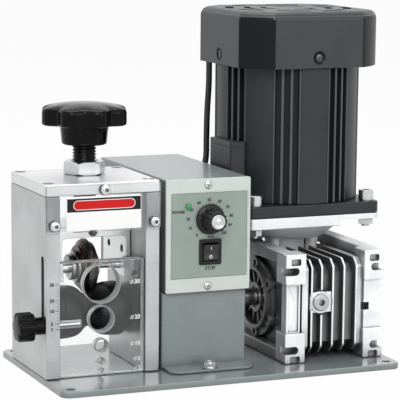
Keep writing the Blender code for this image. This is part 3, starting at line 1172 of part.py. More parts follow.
def build_gearbox_trim(machine):
    """Output cover on the left side, oil plug on the front and input flange on the top of the gearbox."""
    axis = (DRIVE_Y, DRIVE_Z)
    seat = CORE_X0 - SEAT_GAP
    bore = SHAFT_FREE_R
    rim = seat - OUT_FLANGE_T
    crest = rim - OUT_RING_T
    floor = seat - OUT_FLOOR_T
    hub = seat - OUT_HUB_T
    profile = ((bore, seat), (OUT_COVER_R, seat), (OUT_COVER_R, rim), (OUT_RING_R, rim),
               (OUT_RING_R, crest), (OUT_RING_IN_R, crest), (OUT_RING_IN_R, floor), (OUT_HUB_R, floor),
               (OUT_HUB_R, hub), (bore, hub))
    cover = machine.piece("output_cover", tube(profile, axis, "X", ROUND), METAL_CAST_DARK)
    holes = bmesh.new()
    for i in range(OUT_BOLTS):
        angle = math.tau * i / OUT_BOLTS + OUT_BOLT_TURN
        at = (DRIVE_Y + OUT_BOLT_CIRCLE * math.cos(angle), DRIVE_Z + OUT_BOLT_CIRCLE * math.sin(angle))
        rod(OUT_BOLT_R, rim - CUT_OVER, rim + OUT_BOLT_DEPTH, at, "X", TINY, holes)
    machine.cut(cover, "output_cover_holes", holes)

    at = (PLUG_X, PLUG_Z)
    under = PLUG_BOSS_Y - SEAT_GAP
    collar = under - PLUG_COLLAR_H
    profile = ((PLUG_SHANK_R, PLUG_BOSS_Y + PLUG_SHANK_L), (PLUG_SHANK_R, under), (PLUG_COLLAR_R, under),
               (PLUG_COLLAR_R, collar))
    plug = machine.piece("oil_plug", lathe(profile, at, "Y", SMALL), METAL_STEEL)
    outline = circle(PLUG_HEX_R, HEX_SIDES, at, PLUG_HEX_TURN)
    machine.join(plug, "oil_plug_hex", prism(outline, collar - PLUG_HEX_H, collar + PLUG_COLLAR_H / 2, "Y"))

    low = CORE_Z1 + SEAT_GAP
    profile = ((INPUT_BORE_R, low), (NECK_R, low), (NECK_R, CONE_Z0), (CONE_R0, CONE_Z0),
               (CONE_R1, CONE_LIP_Z), (CONE_R1, CONE_Z1), (INPUT_BORE_R, CONE_Z1))
    flange = machine.piece("input_flange", tube(profile, (MOTOR_X, MOTOR_Y), steps=FINE), METAL_CAST)
    bosses = bmesh.new()
    for sx in (-1, 1):
        for sy in (-1, 1):
            at = (MOTOR_X + sx * NECK_BOSS_AT[0], MOTOR_Y + sy * NECK_BOSS_AT[1])
            rod(NECK_BOSS_R, low + SEAT_GAP, CONE_Z0 + CUT_OVER, at, steps=TINY, shape=bosses)
    machine.join(flange, "input_flange_bosses", bosses)


def build_gears(machine):
    """Worm wheel on the drive shaft and worm on the motor's axis; they run with clearance."""
    outline = []
    steps = WHEEL_TEETH * 2
    for i in range(steps):
        angle = math.tau * i / steps
        reach = WHEEL_ROOT_R if i % 2 else WHEEL_R
        outline.append((DRIVE_Y + reach * math.cos(angle), DRIVE_Z + reach * math.sin(angle)))
    x0 = MOTOR_X - WHEEL_HALF
    x1 = MOTOR_X + WHEEL_HALF
    wheel = machine.piece("worm_wheel", prism(outline, x0, x1, "X"), BRONZE, (NIP_X, DRIVE_Y, DRIVE_Z))
    bore = rod(SHAFT_R + SEAT_GAP, x0 - CUT_OVER, x1 + CUT_OVER, (DRIVE_Y, DRIVE_Z), "X", ROUND)
    machine.cut(wheel, "worm_wheel_bore", bore)
    start = DRIVE_Z - WORM_PITCH * WORM_RIDGES / 2
    profile = [(WORM_SHAFT_R, WORM_Z0), (WORM_SHAFT_R, start)]
    for i in range(WORM_RIDGES):
        z = start + WORM_PITCH * i
        profile += [(WORM_ROOT_R, z), (WORM_R, z + WORM_CREST[0]), (WORM_R, z + WORM_CREST[1])]
    end = start + WORM_PITCH * WORM_RIDGES
    profile += [(WORM_ROOT_R, end), (WORM_SHAFT_R, end), (WORM_SHAFT_R, WORM_Z1)]
    centre = (MOTOR_X, MOTOR_Y)
    machine.piece("worm", lathe(profile, centre, steps=TINY), METAL_STEEL, (MOTOR_X, MOTOR_Y, DRIVE_Z))


def build_motor_mount(machine):
    """Adapter plate, motor flange and the four bolts through both."""
    x0 = MOTOR_X - FLANGE_HALF
    x1 = MOTOR_X + FLANGE_HALF
    y0 = MOTOR_Y - FLANGE_HALF
    y1 = MOTOR_Y + FLANGE_HALF
    outline = ((x0, ADAPTER_Z0), (ADAPTER_STEP_X, ADAPTER_Z0), (ADAPTER_STEP_X, ADAPTER_STEP_Z),
               (x1, ADAPTER_STEP_Z), (x1, ADAPTER_Z1), (x0, ADAPTER_Z1))
    adapter = machine.piece("adapter_plate", prism(outline, y0, y1, "Y"), METAL_LIGHT)
    outline = rounded(x0, y0, x1, y1, FLANGE_CORNER, CORNER_STEPS)
    flange = machine.piece("motor_flange", prism(outline, FLANGE_Z0, FLANGE_Z1), PAINT_BLACK)
    for target, bore, low, high in ((adapter, ADAPTER_BORE_R, ADAPTER_Z0, ADAPTER_Z1),
                                    (flange, SHAFT_FREE_R, FLANGE_Z0, FLANGE_Z1)):
        holes = rod(bore, low - CUT_OVER, high + CUT_OVER, (MOTOR_X, MOTOR_Y), steps=ROUND)
        for sx in (-1, 1):
            for sy in (-1, 1):
                at = (MOTOR_X + sx * MOTOR_BOLT_AT, MOTOR_Y + sy * MOTOR_BOLT_AT)
                rod(MOTOR_BOLT_R + SEAT_GAP, low - CUT_OVER, high + CUT_OVER, at, steps=TINY, shape=holes)
        machine.cut(target, target.name + "_holes", holes)
    count = 0
    for sx in (-1, 1):
        for sy in (-1, 1):
            count += 1
            at = (MOTOR_X + sx * MOTOR_BOLT_AT, MOTOR_Y + sy * MOTOR_BOLT_AT)
            nut_top = (ADAPTER_Z0 if sx < 0 else ADAPTER_STEP_Z) - SEAT_GAP
            nut_low = nut_top - MOTOR_NUT_H
            seat = FLANGE_Z1 + SEAT_GAP
            crown = seat + MOTOR_BOLT_HEAD_H
            profile = ((MOTOR_BOLT_R, nut_low - MOTOR_BOLT_TAIL), (MOTOR_BOLT_R, nut_low),
                       (MOTOR_NUT_R, nut_low), (MOTOR_NUT_R, nut_top), (MOTOR_BOLT_R, nut_top),
                       (MOTOR_BOLT_R, seat), (MOTOR_BOLT_HEAD_R, seat), (MOTOR_BOLT_HEAD_R, crown),
                       (MOTOR_BOLT_SOCKET_R, crown), (MOTOR_BOLT_SOCKET_R, crown - MOTOR_BOLT_SOCKET_H))
            machine.piece(f"motor_bolt_{count}", lathe(profile, at, steps=TINY), METAL_STEEL)


def body_outline():
    """Round outline of the motor body with groups of upright grooves."""
    points = []
    sector = math.tau / BODY_GROUPS
    span = GROOVE_PITCH * (BODY_GROOVES - 1) + GROOVE_WIDTH
    for k in range(BODY_GROUPS):
        middle = BODY_GROUP_TURN + sector * k
        start = middle - span / 2
        for i in range(BODY_GROOVES):
            low = start + GROOVE_PITCH * i
            high = low + GROOVE_WIDTH
            floor = BODY_R - GROOVE_DEPTH
            for angle, radius in ((low, BODY_R), (low, floor), (high, floor), (high, BODY_R)):
                points.append((MOTOR_X + radius * math.cos(angle), MOTOR_Y + radius * math.sin(angle)))
        plain = sector - span
        for share in BODY_PLAIN_SHARES:
            angle = start + span + plain * share
            points.append((MOTOR_X + BODY_R * math.cos(angle), MOTOR_Y + BODY_R * math.sin(angle)))
    return points


def build_motor(machine):
    """Ribbed motor body, rotor with its shaft, and cooling fan."""
    body = machine.piece("motor_body", prism(body_outline(), BODY_Z0, BODY_Z1), PAINT_BLACK)
    bore = rod(BODY_BORE_R, BODY_Z0 - CUT_OVER, BODY_Z1 + CUT_OVER, (MOTOR_X, MOTOR_Y), steps=ROUND)
    machine.cut(body, "motor_body_bore", bore)
    pivot = (MOTOR_X, MOTOR_Y, DRIVE_Z)
    profile = ((SHAFT_R, ROTOR_TAIL_Z), (SHAFT_R, ROTOR_Z0), (ROTOR_R, ROTOR_Z0), (ROTOR_R, ROTOR_Z1),
               (SHAFT_R, ROTOR_Z1), (SHAFT_R, ROTOR_TOP_Z))
    machine.piece("motor_rotor", lathe(profile, (MOTOR_X, MOTOR_Y)), METAL_STEEL, pivot)
    bore_r = SHAFT_R + SEAT_GAP
    disc = FAN_Z0 + FAN_DISC_T
    profile = ((bore_r, FAN_Z0), (FAN_R, FAN_Z0), (FAN_R, disc), (FAN_HUB_R, disc), (FAN_HUB_R, FAN_Z1),
               (bore_r, FAN_Z1))
    fan = machine.piece("cooling_fan", tube(profile, (MOTOR_X, MOTOR_Y), steps=ROUND), PLASTIC_BLACK, pivot)
    blades = bmesh.new()
    for i in range(FAN_BLADES):
        angle = math.tau * i / FAN_BLADES
        along = Vector((math.cos(angle), math.sin(angle)))
        across = Vector((-math.sin(angle), math.cos(angle))) * FAN_BLADE_T / 2
        inner = along * FAN_BLADE_ROOT
        outer = along * (FAN_R - SEAT_GAP)
        centre = Vector((MOTOR_X, MOTOR_Y))
        corners = (inner - across, outer - across, outer + across, inner + across)
        outline = [tuple(centre + corner) for corner in corners]
        prism(outline, FAN_BLADE_Z0 - FAN_DISC_T / 2, FAN_Z1 - SEAT_GAP, "Z", blades)
    machine.join(fan, "cooling_fan_blades", blades)


def cropped_square(half, reach):
    """Square whose corners are cut off by a circle about its middle."""
    flat_end = math.acos(half / reach)
    sector = math.tau / SHROUD_CORNERS
    points = []
    for k in range(SHROUD_CORNERS):
        for i in range(SHROUD_ARC_STEPS + 1):
            angle = sector * k + flat_end + (sector - flat_end - flat_end) * i / SHROUD_ARC_STEPS
            points.append((reach * math.cos(angle), reach * math.sin(angle)))
    return points


def build_fan_cover(machine):
    """Square fan cover with its corners cut round, round shoulders and vent slots in its top."""
    def level(inset, z):
        outline = cropped_square(SHROUD_HALF - inset, SHROUD_REACH - inset)
        return [(MOTOR_X + u, MOTOR_Y + v, z) for u, v in outline]

    rings = [level(0, SHROUD_Z0)]
    for i in range(SHROUD_ROUND_STEPS + 1):
        angle = math.pi / 2 * i / SHROUD_ROUND_STEPS
        inset = SHROUD_ROUND * (1 - math.cos(angle))
        z = SHROUD_Z1 - SHROUD_ROUND * (1 - math.sin(angle))
        rings.append(level(inset, z))
    cover = machine.piece("fan_cover", stack(bmesh.new(), rings), PAINT_BLACK)
    top = SHROUD_Z1 - SHROUD_WALL
    room = stack(bmesh.new(), [level(SHROUD_WALL, SHROUD_Z0 - CUT_OVER), level(SHROUD_WALL, top - SHROUD_ROUND),
                               level(SHROUD_WALL + SHROUD_ROUND, top)])
    machine.cut(cover, "fan_cover_room", room)
    slots = bmesh.new()
    for share, count in zip(VENT_RING_SHARES, VENT_COUNTS):
        radius = SHROUD_HALF * share
        for k in range(count):
            sector = math.tau / count
            middle = sector * k + sector / 2
            half = sector / 2 * VENT_SHARE
            arc = []
            for side in (1, -1):
                for i in range(VENT_STEPS + 1):
                    angle = middle + side * half * (2 * i / VENT_STEPS - 1)
                    reach = radius + side * VENT_WIDTH / 2
                    arc.append((MOTOR_X + reach * math.cos(angle), MOTOR_Y + reach * math.sin(angle)))
            prism(arc, top - CUT_OVER, SHROUD_Z1 + CUT_OVER, "Z", slots)
    machine.cut(cover, "fan_cover_vents", slots)


def build_terminal_box(machine):
    """Wiring box on the motor's left side, shaped to the round body."""
    reach = BODY_R + SEAT_GAP
    outline = [(TERMINAL_X0, TERMINAL_Y1), (TERMINAL_X0, TERMINAL_Y0)]
    for i in range(TERMINAL_STEPS + 1):
        y = TERMINAL_Y0 + (TERMINAL_Y1 - TERMINAL_Y0) * i / TERMINAL_STEPS
        outline.append((MOTOR_X - math.sqrt(reach ** 2 - (y - MOTOR_Y) ** 2) - SEAT_GAP, y))
    machine.piece("terminal_box", prism(outline, TERMINAL_Z0, TERMINAL_Z1), PAINT_BLACK)


def build_cable(machine):
    """Twin lead from the fan end of the motor down to the control box, swept along its route."""
    path = [Vector((CABLE_X0 - left, y, z)) for left, y, z in CABLE_ROUTE]
    outline = []
    for side in (1, -1):
        for i in range(CABLE_SIDE_STEPS + 1):
            angle = CABLE_ARC * i / CABLE_SIDE_STEPS - CABLE_ARC / 2
            wide = CABLE_LEAD_OFF + CABLE_LEAD_R * math.cos(angle)
            outline.append((side * wide, side * CABLE_LEAD_R * math.sin(angle)))
    rings = []
    for k, point in enumerate(path):
        before = path[max(k - 1, 0)]
        after = path[min(k + 1, len(path) - 1)]
        along = (after - before).normalized()
        wide = Vector((0, 1, 0))
        wide = (wide - along * wide.dot(along)).normalized()
        thick = along.cross(wide)
        rings.append([point + wide * u + thick * v for u, v in outline])
    machine.piece("motor_cable", stack(bmesh.new(), rings), PLASTIC_BLACK)


def main():
    """Build the whole machine."""
    machine = Assembly("wire_stripping_machine")
    build_base(machine)
    build_side_plates(machine)
    build_top_plate(machine)
    build_guard(machine)
    build_height_screw(machine)
    build_carrier(machine)
    build_blade(machine)
    build_guide(machine)
    build_roller(machine)
    build_drive_cover(machine)
    build_control_box(machine)
    build_panel(machine)
    build_speed_control(machine)
    build_switch(machine)
    build_gearbox(machine)
    build_gearbox_trim(machine)
    build_gears(machine)
    build_motor_mount(machine)
    build_motor(machine)
    build_fan_cover(machine)
    build_terminal_box(machine)
    build_cable(machine)


main()
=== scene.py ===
"""Wire stripping machine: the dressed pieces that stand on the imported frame.

Lengths are in millimetres and a piece is scaled to metres when it is made.
+X is right, +Y is back, +Z is up, and the origin is under the middle of the base plate.
"""
import logging
import math
from dataclasses import dataclass
from enum import Enum
from typing import Any, Callable, Sequence

import bmesh
import bpy
from mathutils import Matrix, Vector


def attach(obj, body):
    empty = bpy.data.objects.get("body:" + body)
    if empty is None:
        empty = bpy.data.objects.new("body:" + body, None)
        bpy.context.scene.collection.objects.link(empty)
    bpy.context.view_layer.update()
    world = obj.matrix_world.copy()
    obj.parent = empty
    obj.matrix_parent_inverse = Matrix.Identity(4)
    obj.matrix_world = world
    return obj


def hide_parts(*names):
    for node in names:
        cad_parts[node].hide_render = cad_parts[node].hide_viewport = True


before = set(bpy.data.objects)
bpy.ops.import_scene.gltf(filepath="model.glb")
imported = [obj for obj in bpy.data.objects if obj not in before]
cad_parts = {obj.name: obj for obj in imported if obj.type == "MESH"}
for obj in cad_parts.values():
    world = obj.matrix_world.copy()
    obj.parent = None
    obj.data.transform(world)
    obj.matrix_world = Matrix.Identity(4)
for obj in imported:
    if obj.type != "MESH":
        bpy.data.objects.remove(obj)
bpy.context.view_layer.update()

LOG = logging.getLogger("wire_stripper")
TO_METRES = 0.001
OVER = 2.0
PROUD = 0.05

Pair = tuple[float, float]
Triple = tuple[float, float, float]
Outline = list[Pair]


# Outlines

class Axis(Enum):
    """Direction that an outline is drawn out along; outlines lie in YZ, XZ or XY."""

    X = "X"
    Y = "Y"
    Z = "Z"

    def point(self, u: float, v: float, w: float) -> Triple:
        """Outline coordinates and a height as a point."""
        if self is Axis.X:
            return (w, u, v)
        return (u, w, v) if self is Axis.Y else (u, v, w)


def circle(radius: float, steps: int = 48, centre: Pair = (0, 0), turn: float = 0.0) -> Outline:
    """Points of a circle; six steps give a hexagon, and turn is in radians."""
    return lobed(lambda _: radius, steps, centre, turn)


def lobed(reach: Callable[[float], float], steps: int, centre: Pair = (0, 0), turn: float = 0.0) -> Outline:
    """Closed outline whose radius follows the angle.

    Args:
        reach: gives the radius for an angle in radians.
        steps: how many points there are.
        centre: middle of the outline.
        turn: angle of the first point.

    Returns:
        The points, anticlockwise.
    """
    angles = [turn + math.tau * i / steps for i in range(steps)]
    return [(centre[0] + reach(a) * math.cos(a), centre[1] + reach(a) * math.sin(a)) for a in angles]


def rounded(low: Pair, high: Pair, radius: float, steps: int = 6) -> Outline:
    """Rectangle between two corners, with round corners."""
    (x0, y0), (x1, y1) = low, high
    middles = ((x1 - radius, y1 - radius), (x0 + radius, y1 - radius),
               (x0 + radius, y0 + radius), (x1 - radius, y0 + radius))
    points = []
    for k, (cx, cy) in enumerate(middles):
        for i in range(steps + 1):
            angle = math.pi / 2 * (k + i / steps)
            points.append((cx + radius * math.cos(angle), cy + radius * math.sin(angle)))
    return points


def eased(points: Sequence[Pair], radius: float, closed: bool = True, steps: int = 4) -> Outline:
    """Rounds the corners of a line.

    Args:
        points: corners in order.
        radius: how far from a corner its round starts, at most.
        closed: whether the last point joins the first.
        steps: points of each round.

    Returns:
        The rounded line.
    """
    count = len(points)
    made = []
    for i, corner in enumerate(points):
        if not closed and i in (0, count - 1):
            made.append(tuple(corner))
            continue
        here, before, after = Vector(corner), Vector(points[i - 1]), Vector(points[(i + 1) % count])
        back, on = before - here, after - here
        reach = min(radius, 0.45 * back.length, 0.45 * on.length)
        start, end = here + back.normalized() * reach, here + on.normalized() * reach
        for k in range(steps + 1):
            share = k / steps
            at = start * (1 - share) ** 2 + here * 2 * share * (1 - share) + end * share ** 2
            made.append((at.x, at.y))
    return made


def inset(outline: Outline, distance: float) -> Outline:
    """Moves an anticlockwise outline inwards by a distance."""
    if not distance:
        return list(outline)
    made = []
    count = len(outline)
    for i, corner in enumerate(outline):
        here = Vector(corner)
        into = (here - Vector(outline[i - 1])).normalized()
        out = (Vector(outline[(i + 1) % count]) - here).normalized()
        normal = Vector((-into.y - out.y, into.x + out.x))
        length = max(normal.length, 1e-6)
        cosine = max(length / 2, 0.35)
        here += normal / length * (distance / cosine)
        made.append((here.x, here.y))
    return made


# Solids

class Solid:
    """A closed mesh in millimetres, which is cut, joined or turned and then made a piece."""

    def __init__(self) -> None:
        """Starts with nothing in it."""
        self.mesh = bmesh.new()

    def skin(self, rings: Sequence[Sequence[Triple]], loop: bool = False) -> "Solid":
        """Joins equal rings of points.

        Args:
            rings: the rings in order.
            loop: whether the last ring joins the first, as round a bore, instead of flat ends.

        Returns:
            This solid.
        """
        rows = [[self.mesh.verts.new(point) for point in ring] for ring in rings]
        for low, high in zip(rows, rows[1:] + (rows[:1] if loop else [])):
            for i, corner in enumerate(low):
                j = (i + 1) % len(low)
                self.mesh.faces.new((corner, low[j], high[j], high[i]))
        if not loop:
            self.mesh.faces.new(rows[0][::-1])
            self.mesh.faces.new(rows[-1])
        return self

    def prism(self, outline: Sequence[Pair], low: float, high: float, axis: Axis = Axis.Z,
              edge: float = 0.0, low_edge: float | None = None) -> "Solid":
        """Draws an outline out along an axis.

        Args:
            outline: anticlockwise points.
            low: where it starts.
            high: where it ends.
            axis: direction of drawing out.
            edge: round of the far rim.
            low_edge: round of the near rim, the same as edge where it isn't given.

        Returns:
            This solid.
        """
        near = edge if low_edge is None else low_edge
        levels = [(near * (1 - math.sin(a)), low + near * (1 - math.cos(a))) for a in quarter(near)]
        levels += [(edge * (1 - math.sin(a)), high - edge * (1 - math.cos(a))) for a in reversed(quarter(edge))]
        rings = []
        for back, height in levels:
            rings.append([axis.point(u, v, height) for u, v in inset(list(outline), back)])
        return self.skin(rings)

    def block(self, low: Triple, high: Triple, edge: float = 0.0, corner: float = 0.0,
              axis: Axis = Axis.Z) -> "Solid":
        """Box between two corners, with round rims and round corners along an axis."""
        flat = {Axis.X: (1, 2, 0), Axis.Y: (0, 2, 1), Axis.Z: (0, 1, 2)}[axis]
        a, b = [[point[k] for k in flat] for point in (low, high)]
        if corner:
            outline = rounded((a[0], a[1]), (b[0], b[1]), corner)
        else:
            outline = [(a[0], a[1]), (b[0], a[1]), (b[0], b[1]), (a[0], b[1])]
        return self.prism(outline, a[2], b[2], axis, edge)

    def lathe(self, profile: Sequence[Pair], centre: Pair, axis: Axis = Axis.Z, steps: int = 64,
              edge: float = 0.0, loop: bool = False, turn: float = 0.0) -> "Solid":
        """Turns a profile about an axis.

        Args:
            profile: (radius, height) points.
            centre: where the axis stands in the outline's plane.
            axis: direction of the axis.
            steps: segments of a turn.
            edge: round of the profile's corners.
            loop: whether the profile is closed, which leaves a bore.
            turn: angle of the first segment.

        Returns:
            This solid.
        """
        line = eased(profile, edge, loop, 3) if edge else profile
        rings = []
        for radius, height in line:
            rings.append([axis.point(u, v, height) for u, v in circle(radius, steps, centre, turn)])
        return self.skin(rings, loop)

    def rod(self, radius: float, low: float, high: float, centre: Pair, axis: Axis = Axis.Z,
            steps: int = 40) -> "Solid":
        """Plain cylinder, mostly for a hole."""
        return self.lathe(((radius, low), (radius, high)), centre, axis, steps)

    def drill(self, radius: float, low: float, high: float, centre: Pair, axis: Axis = Axis.Z,
              ease: float = 0.4, steps: int = 40) -> "Solid":
        """Cylinder for a hole between two faces, with both rims broken."""
        wide = radius + ease
        line = ((wide, low - OVER), (wide, low), (radius, low + ease), (radius, high - ease), (wide, high),
                (wide, high + OVER))
        return self.lathe(line, centre, axis, steps)

    def take(self, other: "Solid") -> "Solid":
        """Takes another solid in beside what is there, without joining the two."""
        data = bpy.data.meshes.new("taken")
        other.mesh.to_mesh(data)
        other.mesh.free()
        self.mesh.from_mesh(data)
        bpy.data.meshes.remove(data)
        return self

    def turned(self, degrees: float, centre: Triple, axis: Axis) -> "Solid":
        """Turns everything in it about an axis through a point."""
        turn = Matrix.Rotation(math.radians(degrees), 3, axis.value)
        bmesh.ops.rotate(self.mesh, verts=self.mesh.verts, cent=centre, matrix=turn)
        return self

    def cut(self, *tools: "Solid") -> "Solid":
        """Takes other solids away."""
        return self._combine(tools, "DIFFERENCE")

    def join(self, *tools: "Solid") -> "Solid":
        """Adds other solids, so that all are one closed body."""
        return self._combine(tools, "UNION")

    def common(self, *tools: "Solid") -> "Solid":
        """Keeps what it shares with other solids."""
        return self._combine(tools, "INTERSECT")

    def _combine(self, tools: Sequence["Solid"], operation: str) -> "Solid":
        target = self.object("combined")
        helpers = [tool.object("tool") for tool in tools]
        for helper in helpers:
            step = target.modifiers.new("step", "BOOLEAN")
            step.operation = operation
            step.solver = "EXACT"
            step.object = helper
        depsgraph = bpy.context.evaluated_depsgraph_get()
        result = bpy.data.meshes.new_from_object(target.evaluated_get(depsgraph))
        self.mesh = bmesh.new()
        self.mesh.from_mesh(result)
        bpy.data.meshes.remove(result)
        for used in (target, *helpers):
            data = used.data
            bpy.data.objects.remove(used)
            bpy.data.meshes.remove(data)
        return self

    def object(self, name: str) -> bpy.types.Object:
        """Makes an object of the mesh, still in millimetres, and empties this solid."""
        bmesh.ops.recalc_face_normals(self.mesh, faces=self.mesh.faces)
        data = bpy.data.meshes.new(name)
        self.mesh.to_mesh(data)
        self.mesh.free()
        made = bpy.data.objects.new(name, data)
        bpy.context.scene.collection.objects.link(made)
        return made


def quarter(edge: float, steps: int = 3) -> list[float]:
    """Angles of a quarter round, or only its end where there is no edge to round."""
    return [math.pi / 2 * k / steps for k in range(steps + 1)] if edge else [math.pi / 2]


def lettering(words: Sequence[tuple[str, Pair, float]], face: float, depth: float = PROUD) -> Solid:
    """Raised characters on a face that looks towards -Y.

    Args:
        words: text, (x, z) of its middle and height of a capital letter.
        face: y of the face they stand on.
        depth: how far they stand out.

    Returns:
        All characters in one solid.
    """
    made = Solid()
    for text, (x, z), height in words:
        curve = bpy.data.curves.new("letters", "FONT")
        curve.body = text
        curve.size = height / 0.7
        curve.extrude = depth
        curve.offset = 0.05 * height
        curve.resolution_u = 3
        curve.align_x = "CENTER"
        curve.align_y = "CENTER"
        writing = bpy.data.objects.new("letters", curve)
        bpy.context.scene.collection.objects.link(writing)
        depsgraph = bpy.context.evaluated_depsgraph_get()
        data = bpy.data.meshes.new_from_object(writing.evaluated_get(depsgraph))
        data.transform(Matrix.Translation((x, face, z)) @ Matrix.Rotation(math.pi / 2, 4, "X"))
        made.mesh.from_mesh(data)
        bpy.data.objects.remove(writing)
        bpy.data.curves.remove(curve)
        bpy.data.meshes.remove(data)
    bmesh.ops.remove_doubles(made.mesh, verts=made.mesh.verts, dist=1e-4)
    return made


# Shader sockets and node trees

class Wire:
    """One output socket, with arithmetic that adds Math nodes."""

    def __init__(self, tree: "Tree", socket: bpy.types.NodeSocket) -> None:
        """Keeps the socket and the tree it is in."""
        self.tree = tree
        self.socket = socket

    def _math(self, operation: str, *values: Any) -> "Wire":
        return self.tree.add("ShaderNodeMath", {"operation": operation}, dict(enumerate(values)))

    def __add__(self, other: Any) -> "Wire":
        """Sum."""
        return self._math("ADD", self, other)

    def __sub__(self, other: Any) -> "Wire":
        """Difference."""
        return self._math("SUBTRACT", self, other)

    def __rsub__(self, other: Any) -> "Wire":
        """Difference from a number."""
        return self._math("SUBTRACT", other, self)

    def __mul__(self, other: Any) -> "Wire":
        """Product."""
        return self._math("MULTIPLY", self, other)

    def __pow__(self, other: Any) -> "Wire":
        """Power."""
        return self._math("POWER", self, other)

    def __or__(self, other: Any) -> "Wire":
        """Larger of the two."""
        return self._math("MAXIMUM", self, other)

    __radd__ = __add__
    __rmul__ = __mul__
    __ror__ = __or__


class Tree:
    """A node tree, and the way nodes are put into it."""

    def __init__(self, owner: bpy.types.Material | bpy.types.World) -> None:
        """Takes the tree of a material or of the world."""
        owner.use_nodes = True
        self.nodes = owner.node_tree.nodes
        self.links = owner.node_tree.links

    def add(self, kind: str, settings: dict[str, Any] | None = None,
            values: dict[Any, Any] | None = None, out: Any = 0) -> Wire:
        """Adds a node.

        Args:
            kind: Blender's name of the node type.
            settings: properties of the node, set first; stops are a ramp's positions and greys.
            values: numbers, colours or wires for its input sockets.
            out: name or number of the output wanted.

        Returns:
            That output.
        """
        node = self.nodes.new(kind)
        for key, value in (settings or {}).items():
            if key == "stops":
                for k, (place, grey) in enumerate(value):
                    stop = node.color_ramp.elements[k] if k < 2 else node.color_ramp.elements.new(place)
                    stop.position = place
                    stop.color = (grey, grey, grey, 1)
            else:
                setattr(node, key, value)
        self.feed(node, values or {})
        return Wire(self, node.outputs[out])

    def feed(self, node: bpy.types.Node, values: dict[Any, Any]) -> None:
        """Sets or links input sockets of a node."""
        for key, value in values.items():
            if isinstance(value, Wire):
                self.links.new(value.socket, node.inputs[key])
            else:
                node.inputs[key].default_value = value

    def place(self, size: Triple) -> Wire:
        """Object coordinates, in which one unit is a given size in millimetres."""
        spot = self.add("ShaderNodeTexCoord", out="Object")
        scale = tuple(1 / (TO_METRES * side) for side in size)
        return self.add("ShaderNodeVectorMath", {"operation": "MULTIPLY"}, {0: spot, 1: scale})

    def noise(self, size: Triple, detail: float = 2.0, roughness: float = 0.5) -> Wire:
        """Noise between 0 and 1 whose grains have a given size in millimetres."""
        return self.add("ShaderNodeTexNoise", None,
                        {"Vector": self.place(size), "Scale": 1.0, "Detail": detail, "Roughness": roughness})

    def range(self, value: Wire, low: float, high: float) -> Wire:
        """Smooth step from 0 at low to 1 at high."""
        return self.add("ShaderNodeMapRange", {"interpolation_type": "SMOOTHSTEP"},
                        {"Value": value, "From Min": low, "From Max": high})

    def mix(self, share: Any, first: Any, second: Any) -> Wire:
        """Colour between two colours."""
        ends = [(*c, 1.0) if isinstance(c, tuple) else c for c in (first, second)]
        return self.add("ShaderNodeMix", {"data_type": "RGBA"}, {0: share, 6: ends[0], 7: ends[1]}, 2)

    def bump(self, height: Wire, depth: float) -> Wire:
        """Normal of a relief of a given depth in millimetres."""
        return self.add("ShaderNodeBump", None,
                        {"Height": height, "Distance": depth * TO_METRES, "Strength": 1.0})

    def facing_up(self) -> Wire:
        """1 where the surface looks up and 0 where it looks sideways or down."""
        normal = self.add("ShaderNodeNewGeometry", out="Normal")
        upright = self.add("ShaderNodeSeparateXYZ", None, {0: normal}, "Z")
        return self.range(upright, 0.3, 0.9)


# Finishes

@dataclass(frozen=True)
class Finish:
    """A surface with grain, mottling, a bit of dirt and painted shade in its narrow hollows.

    Attributes:
        name: name of the material.
        colour: base colour.
        roughness: middle roughness.
        metallic: 1 for bare metal.
        grain: size of the grain along X, Y and Z.
        depth: relief of the grain.
        swing: how far grain and mottling change the colour.
        patch: size of the mottling.
        polish: how far they change the roughness.
        coat: weight of a clear coat.
        dust: how far faces that look up are paler.
        specular: strength of the plain reflection.
        hollow_shade: how far narrow hollows are darkened, a painted shade for the light they keep out.
        reach: how wide a hollow counts as narrow for that painted shade.
    """

    name: str
    colour: Triple
    roughness: float
    metallic: float = 0.0
    grain: Triple = (0.6, 0.6, 0.6)
    depth: float = 0.01
    swing: float = 0.08
    patch: float = 25.0
    polish: float = 0.10
    coat: float = 0.0
    dust: float = 0.0
    specular: float = 0.5
    hollow_shade: float = 0.0
    reach: float = 12.0

    def material(self) -> bpy.types.Material:
        """The Blender material, made the first time it is wanted."""
        found = bpy.data.materials.get(self.name)
        if found:
            return found
        made = bpy.data.materials.new(self.name)
        tree = Tree(made)
        self.shade(tree, tree.nodes["Principled BSDF"])
        return made

    def shade(self, tree: Tree, shader: bpy.types.Node) -> None:
        """Builds colour with painted shade in its hollows, roughness and relief."""
        patches = tree.noise((self.patch,) * 3, 4.0, 0.55)
        grain = tree.noise(self.grain, 3.0, 0.6)
        worn = tree.range(patches * 0.6 + grain * 0.4, 0.34, 0.66)
        colour = tree.mix(worn, shaded(self.colour, 1 - self.swing), shaded(self.colour, 1 + self.swing))
        if self.dust:
            colour = tree.mix(tree.facing_up() * patches * self.dust, colour, (0.55, 0.55, 0.53))
        # Painted shade: ambient occlusion darkens the colour in narrow hollows, standing in for the light they keep
        # out.
        if self.hollow_shade:
            free = tree.add("ShaderNodeAmbientOcclusion", {"samples": 6}, {"Distance": self.reach * TO_METRES}, "AO")
            dark = (1 - tree.range(free, 0.30, 0.95)) * self.hollow_shade
            colour = tree.mix(dark, colour, shaded(self.colour, 0.10))
        rough = self.roughness + (patches - 0.5) * self.polish + (grain - 0.5) * self.polish
        tree.feed(shader, {"Base Color": colour, "Roughness": rough, "Metallic": self.metallic,
                           "Coat Weight": self.coat, "Coat Roughness": 0.12, "Specular IOR Level": self.specular,
                           "Normal": tree.bump(grain, self.depth)})


